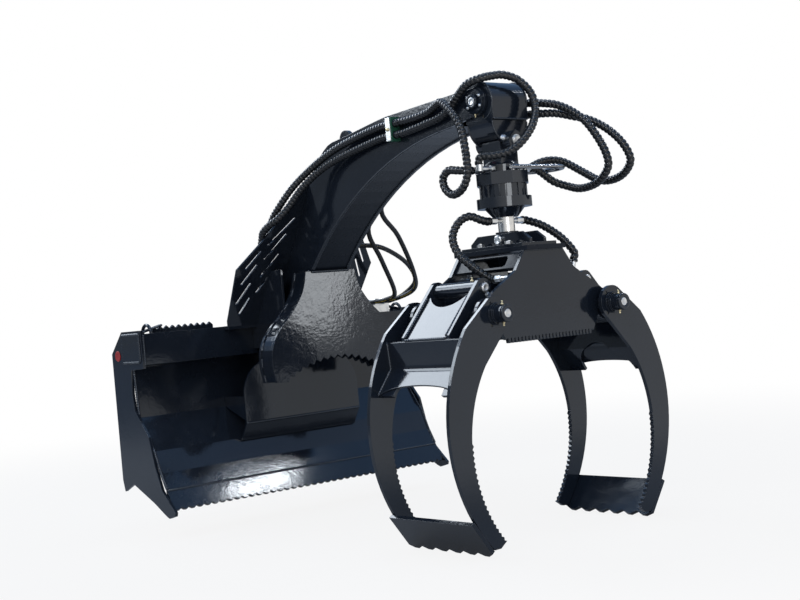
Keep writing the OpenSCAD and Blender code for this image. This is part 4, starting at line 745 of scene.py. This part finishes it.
def bridge_skin(hand, wide=196, rise=42, thick=6, bend=16, stations=41):
    """The folded plate across a tong, under the web, whose lower flange ends in an arch.

    Its section runs down to a rounded fold and out to the foot. At the share u of half the width the foot
    is drawn back along the flange by rise * sqrt(1 - u^2)."""
    top = np.array([-431.3, 196])
    fold = np.array([-424.4, 99.3])
    foot = np.array([-492.0, 12.5])
    down = (fold - top) / np.linalg.norm(fold - top)
    slant = (foot - fold) / np.linalg.norm(foot - fold)
    t = np.linspace(0, 1, 7)[:, None]
    curve = (1 - t)**2 * (fold - bend * down) + 2 * t * (1 - t) * fold + t**2 * (fold + bend * slant)
    rings = []
    for u in np.linspace(-1, 1, stations):
        end = foot - slant * rise * math.sqrt(max(0, 1 - u * u))
        line = np.concatenate([[top, top + 2 * down, fold - (bend + 3) * down], curve,
            [fold + (bend + 3) * slant, end - 2 * slant, end]])
        run = np.gradient(line, axis=0)
        run /= np.linalg.norm(run, axis=1)[:, None]
        out = line + thick * np.stack([run[:, 1], -run[:, 0]], 1)
        loop = np.concatenate([line, out[::-1]])
        rings.append(np.stack([loop[:, 0], AXIS_Y + u * wide + 0 * loop[:, 0], loop[:, 1]], 1))
    points = np.array(rings)
    if hand == "left":
        points = points[::-1]
    if hand == "right":
        points[..., 0] *= -1
    return metres(points)


for hand in HANDS:
    add(f"web_plate_{hand}", f"tong_{hand}", paint, [notched_web(hand)])
    add(f"bridge_plate_{hand}", f"tong_{hand}", paint, [bridge_skin(hand)])


# Weld beads along the seams of each body
FRAME_BEAD = 6
TONG_BEAD = 5.5
LINK_BEAD = 3.4
BODY_BEAD = 3
STITCH_BEAD = 4.6


def board_edge(x):
    """The corner between the board's front and a side plate."""
    return [(x, -150, 170), (x, -165, -40.4), (x, -262.5, -175.8), (x, -300, -263.9), (x, -338, -330)]


def arc_points(centre, radius, start, end, steps=40):
    """Points of an arc in a plane: angles in degrees."""
    a = np.radians(np.linspace(start, end, steps))
    return np.stack([centre[0] + radius * np.cos(a), centre[1] + radius * np.sin(a)], 1)


def three_point_arc(p, q, r, steps=60):
    """Points of the arc through three points."""
    a = np.array([[q[0] - p[0], q[1] - p[1]], [r[0] - p[0], r[1] - p[1]]], float)
    rhs = 0.5 * np.array([q[0]**2 - p[0]**2 + q[1]**2 - p[1]**2, r[0]**2 - p[0]**2 + r[1]**2 - p[1]**2])
    centre = np.linalg.solve(a, rhs)
    ends = [math.degrees(math.atan2(v[1] - centre[1], v[0] - centre[0])) for v in (p, r)]
    return arc_points(centre, math.dist(p, centre), ends[0], ends[1], steps)


def level(x, pair):
    """Points of the YZ plane at one x."""
    return [(x, y, z) for y, z in pair]


# Frame: board and tube against the side plates, the end caps, the boom's belly and its sides on the bell
belly = three_point_arc((-597, 496.2), (-1025, 817), (-1523.5, 947))
bell = through([[x * BELL_W / 2, 0, BELL_TOP - BELL_H + z * BELL_H] for x, z in BELL_SHARES], 5) / MM
inner_face = BLADE_W / 2 - SIDE_T - 1
outer_face = BLADE_W / 2 + 1
frame_beads = []
for side in (-1, 1):
    x = side * inner_face
    frame_beads += [board_edge(x), level(x, [(-251, 298), (-251, 176), (-168, 173)])]
    box = [(-238, 187), (-238, 300), (-100, 300), (-100, 187), (-238, 187)]
    frame_beads.append(level(side * outer_face, box))
    frame_beads.append(level(side * 87, belly + [0, 3.5]))
    frame_beads.append(level(side * 100.5, [(-589, 497), (-512, 497)]))
# Frame: across under the tube, along the cutting edge, the boom's belly on the bell and the apron's fold
frame_beads.append([(-inner_face, -152, 173.5), (inner_face, -152, 173.5)])
frame_beads.append([(-inner_face, -339, -331.5), (inner_face, -339, -331.5)])
frame_beads.append([(-98, -600.5, 493), (98, -600.5, 493)])
frame_beads.append([(-300, -323.5, -112), (300, -323.5, -112)])
add("frame_welds", "frame", bead_paint, [bead(path, FRAME_BEAD, 10) for path in frame_beads])

# Bell: runs of bead with gaps along both edges of its side strips
stitches = []
for side in (-1, 1):
    for y in (-583, -515):
        seam = np.stack([side * (bell[:, 0] - 5.5), 0 * bell[:, 0] + y, bell[:, 2]], 1)
        stitches.append(bead(seam, STITCH_BEAD, 8, 34))
add("bell_stitch_welds", "frame", bead_paint, stitches)

# Link: the hood's edges, its seams on the cheeks and the cheeks' round edges
hood = arc_points((AXIS_Y, PIN1_Z), 70.6, -85, 265, 70)
link_beads = [level(side * 85, hood) for side in (-1, 1)]
link_beads += [[(-84, AXIS_Y + side * 70.5, 945.5), (84, AXIS_Y + side * 70.5, 945.5)] for side in (-1, 1)]
cheek = arc_points((0, 941.5), 85.5, 182, 358, 40)
link_beads += [[(x, AXIS_Y + side * 62.3, z) for x, z in cheek] for side in (-1, 1)]
add("link_welds", "link", bead_paint, [bead(path, LINK_BEAD) for path in link_beads])

# Grapple: the shell's top against the body plates and a ring at the head bracket's foot
body_beads = [[(-94, AXIS_Y + side * 173.6, 472.8), (94, AXIS_Y + side * 173.6, 472.8)] for side in (-1, 1)]
body_beads.append([(x, y + AXIS_Y, 503.2) for x, y in arc_points((0, 0), 42, 0, 360, 50)])
add("body_welds", "grapple", bead_paint, [bead(path, BODY_BEAD) for path in body_beads])

# Tongs: the folded plate against the arms, the web against the ears, and the web's foot
cross = np.array([(437.5, 197), (430.5, 101), (497, 17)])
web_run = np.array([(430, 206), (309, 339)])
for side, hand in ((-1, "left"), (1, "right")):
    paths = [[(side * x, AXIS_Y + y, z) for x, z in cross] for y in (-196.5, 196.5)]
    paths += [[(side * (x + 1), AXIS_Y + y, z + 1) for x, z in web_run] for y in (-106, 106)]
    paths.append([(side * 434, AXIS_Y - 105, 200), (side * 434, AXIS_Y + 105, 200)])
    add(f"tong_welds_{hand}", f"tong_{hand}", bead_paint,
        [bead(path, TONG_BEAD, 10) for path in paths])


# Stage: the share of plain white that gloss sees in the surroundings, and their tones
GLOSS_SHARE = 0.03
FRONT_ROOM = (0.76, 0.745, 0.73)
BACK_ROOM = (0.17, 0.195, 0.225)
CEILING = (0.17, 0.34, 0.64)


def make_stage():
    """A floor just under the object, white to the camera, that keeps the object's shadow.

    Gloss sees it dim near the object and bright far in front of it."""
    half = 40
    floor_z = min(corner[2] for corner in cad_box) - 4 * MM
    mesh = bpy.data.meshes.new("studio_floor")
    corners = [(x * half, y * half, floor_z) for x, y in ((-1, -1), (1, -1), (1, 1), (-1, 1))]
    mesh.from_pydata(corners, [], [(0, 1, 2, 3)])
    floor = bpy.data.objects.new("studio_floor", mesh)
    bpy.context.scene.collection.objects.link(floor)
    f = Finish("studio_white", base_color=(0.36, 0.36, 0.36, 1), roughness=0.9, specular_ior_level=0.1)
    path = f.node("ShaderNodeLightPath")
    gloss = Value(f, path.socket.node.outputs["Is Glossy Ray"])
    glass = Value(f, path.socket.node.outputs["Is Transmission Ray"])
    distance = f.node("ShaderNodeVectorMath", {"operation": "LENGTH"}, {0: f.place()}, output=1)
    far = distance.above(1.6, 6.0)
    ahead = (-1 * f.node("ShaderNodeSeparateXYZ", {}, {0: f.place()}, output=1)).above(2.2, 4.0)
    seen = (path + glass) * (0.88 + 0.12 * far) + gloss * (0.08 + 0.72 * ahead)
    glow = f.node("ShaderNodeEmission", {}, {"Color": (1, 1, 1, 1), "Strength": 1.0})
    mixed = f.node("ShaderNodeMixShader", {}, {0: seen, 1: Value(f, f.shader.outputs[0]), 2: glow})
    f.feed(f.tree.nodes["Material Output"].inputs[0], mixed)
    mesh.materials.append(f.material)


class Surroundings(Finish):
    """The world, with the same calls as a material."""

    def __init__(self, name):
        self.world = bpy.data.worlds.new(name)
        self.world.use_nodes = True
        self.tree = self.world.node_tree
        self.shader = self.tree.nodes["Background"]


def make_world():
    """White to the camera; a pale room in front of the object, dimmer behind it, under a blue ceiling."""
    s = Surroundings("studio")
    path = s.node("ShaderNodeLightPath")
    gloss = Value(s, path.socket.node.outputs["Is Glossy Ray"])
    glass = Value(s, path.socket.node.outputs["Is Transmission Ray"])
    way = s.node("ShaderNodeTexCoord", output=0)
    ahead = {0: way, 1: (0.15, -0.985, 0)}
    front = s.node("ShaderNodeVectorMath", {"operation": "DOT_PRODUCT"}, ahead, output=1)
    up = s.node("ShaderNodeSeparateXYZ", {}, {0: way}, output=2)
    walls = s.mix(front.above(-0.3, 0.8), BACK_ROOM, FRONT_ROOM)
    room = s.mix(up.above(0.08, 0.7), walls, CEILING)
    s.give({"color": s.mix(path + glass + gloss * GLOSS_SHARE, room, (1, 1, 1)), "strength": 1.0})
    bpy.context.scene.world = s.world


def lamp(name, at, towards, size, power, tint=(1, 1, 1), roll=0, spread=180):
    """A soft box at a place, turned towards a point and rolled by some degrees."""
    data = bpy.data.lights.new(name, "AREA")
    data.shape = "RECTANGLE"
    data.size, data.size_y = size
    data.energy = power
    data.color = tint
    data.spread = math.radians(spread)
    box = bpy.data.objects.new(name, data)
    bpy.context.scene.collection.objects.link(box)
    box.location = at
    box.visible_camera = False
    turn = (Vector(towards) - Vector(at)).to_track_quat("-Z", "Y").to_matrix()
    box.rotation_euler = (turn @ Matrix.Rotation(math.radians(roll), 3, "Z")).to_euler()


COOL = (0.90, 0.95, 1.0)
make_stage()
make_world()
lamp("key_box", (-4.4, -3.2, 3.6), (0, -0.9, 0.3), (3.2, 0.7), 75)
lamp("edge_box", (-3.4, 2.9, 2.9), (-0.4, -1.6, 0.2), (1.3, 2.2), 60, COOL)
lamp("back_box", (-0.6, 4.4, 5.0), (-0.3, -1.6, 0.3), (4.4, 2.8), 290, COOL)
lamp("blade_box", (2.106, -2.571, 2.591), (-0.29, -0.362, -0.37), (0.47, 0.07), 8, roll=-34)
lamp("bell_box", (1.352, -2.563, 0.482), (-0.08, -0.6, 0.38), (0.41, 0.46), 0.05, roll=-28, spread=20)
lamp("streak_box", (-1.31, -4.6, 0.96), (0, -1.7, 0.7), (1.1, 1.2), 16)
lamp("top_box", (0.2, -1.6, 4.8), (0, -0.9, 0), (3.0, 1.2), 55, COOL)
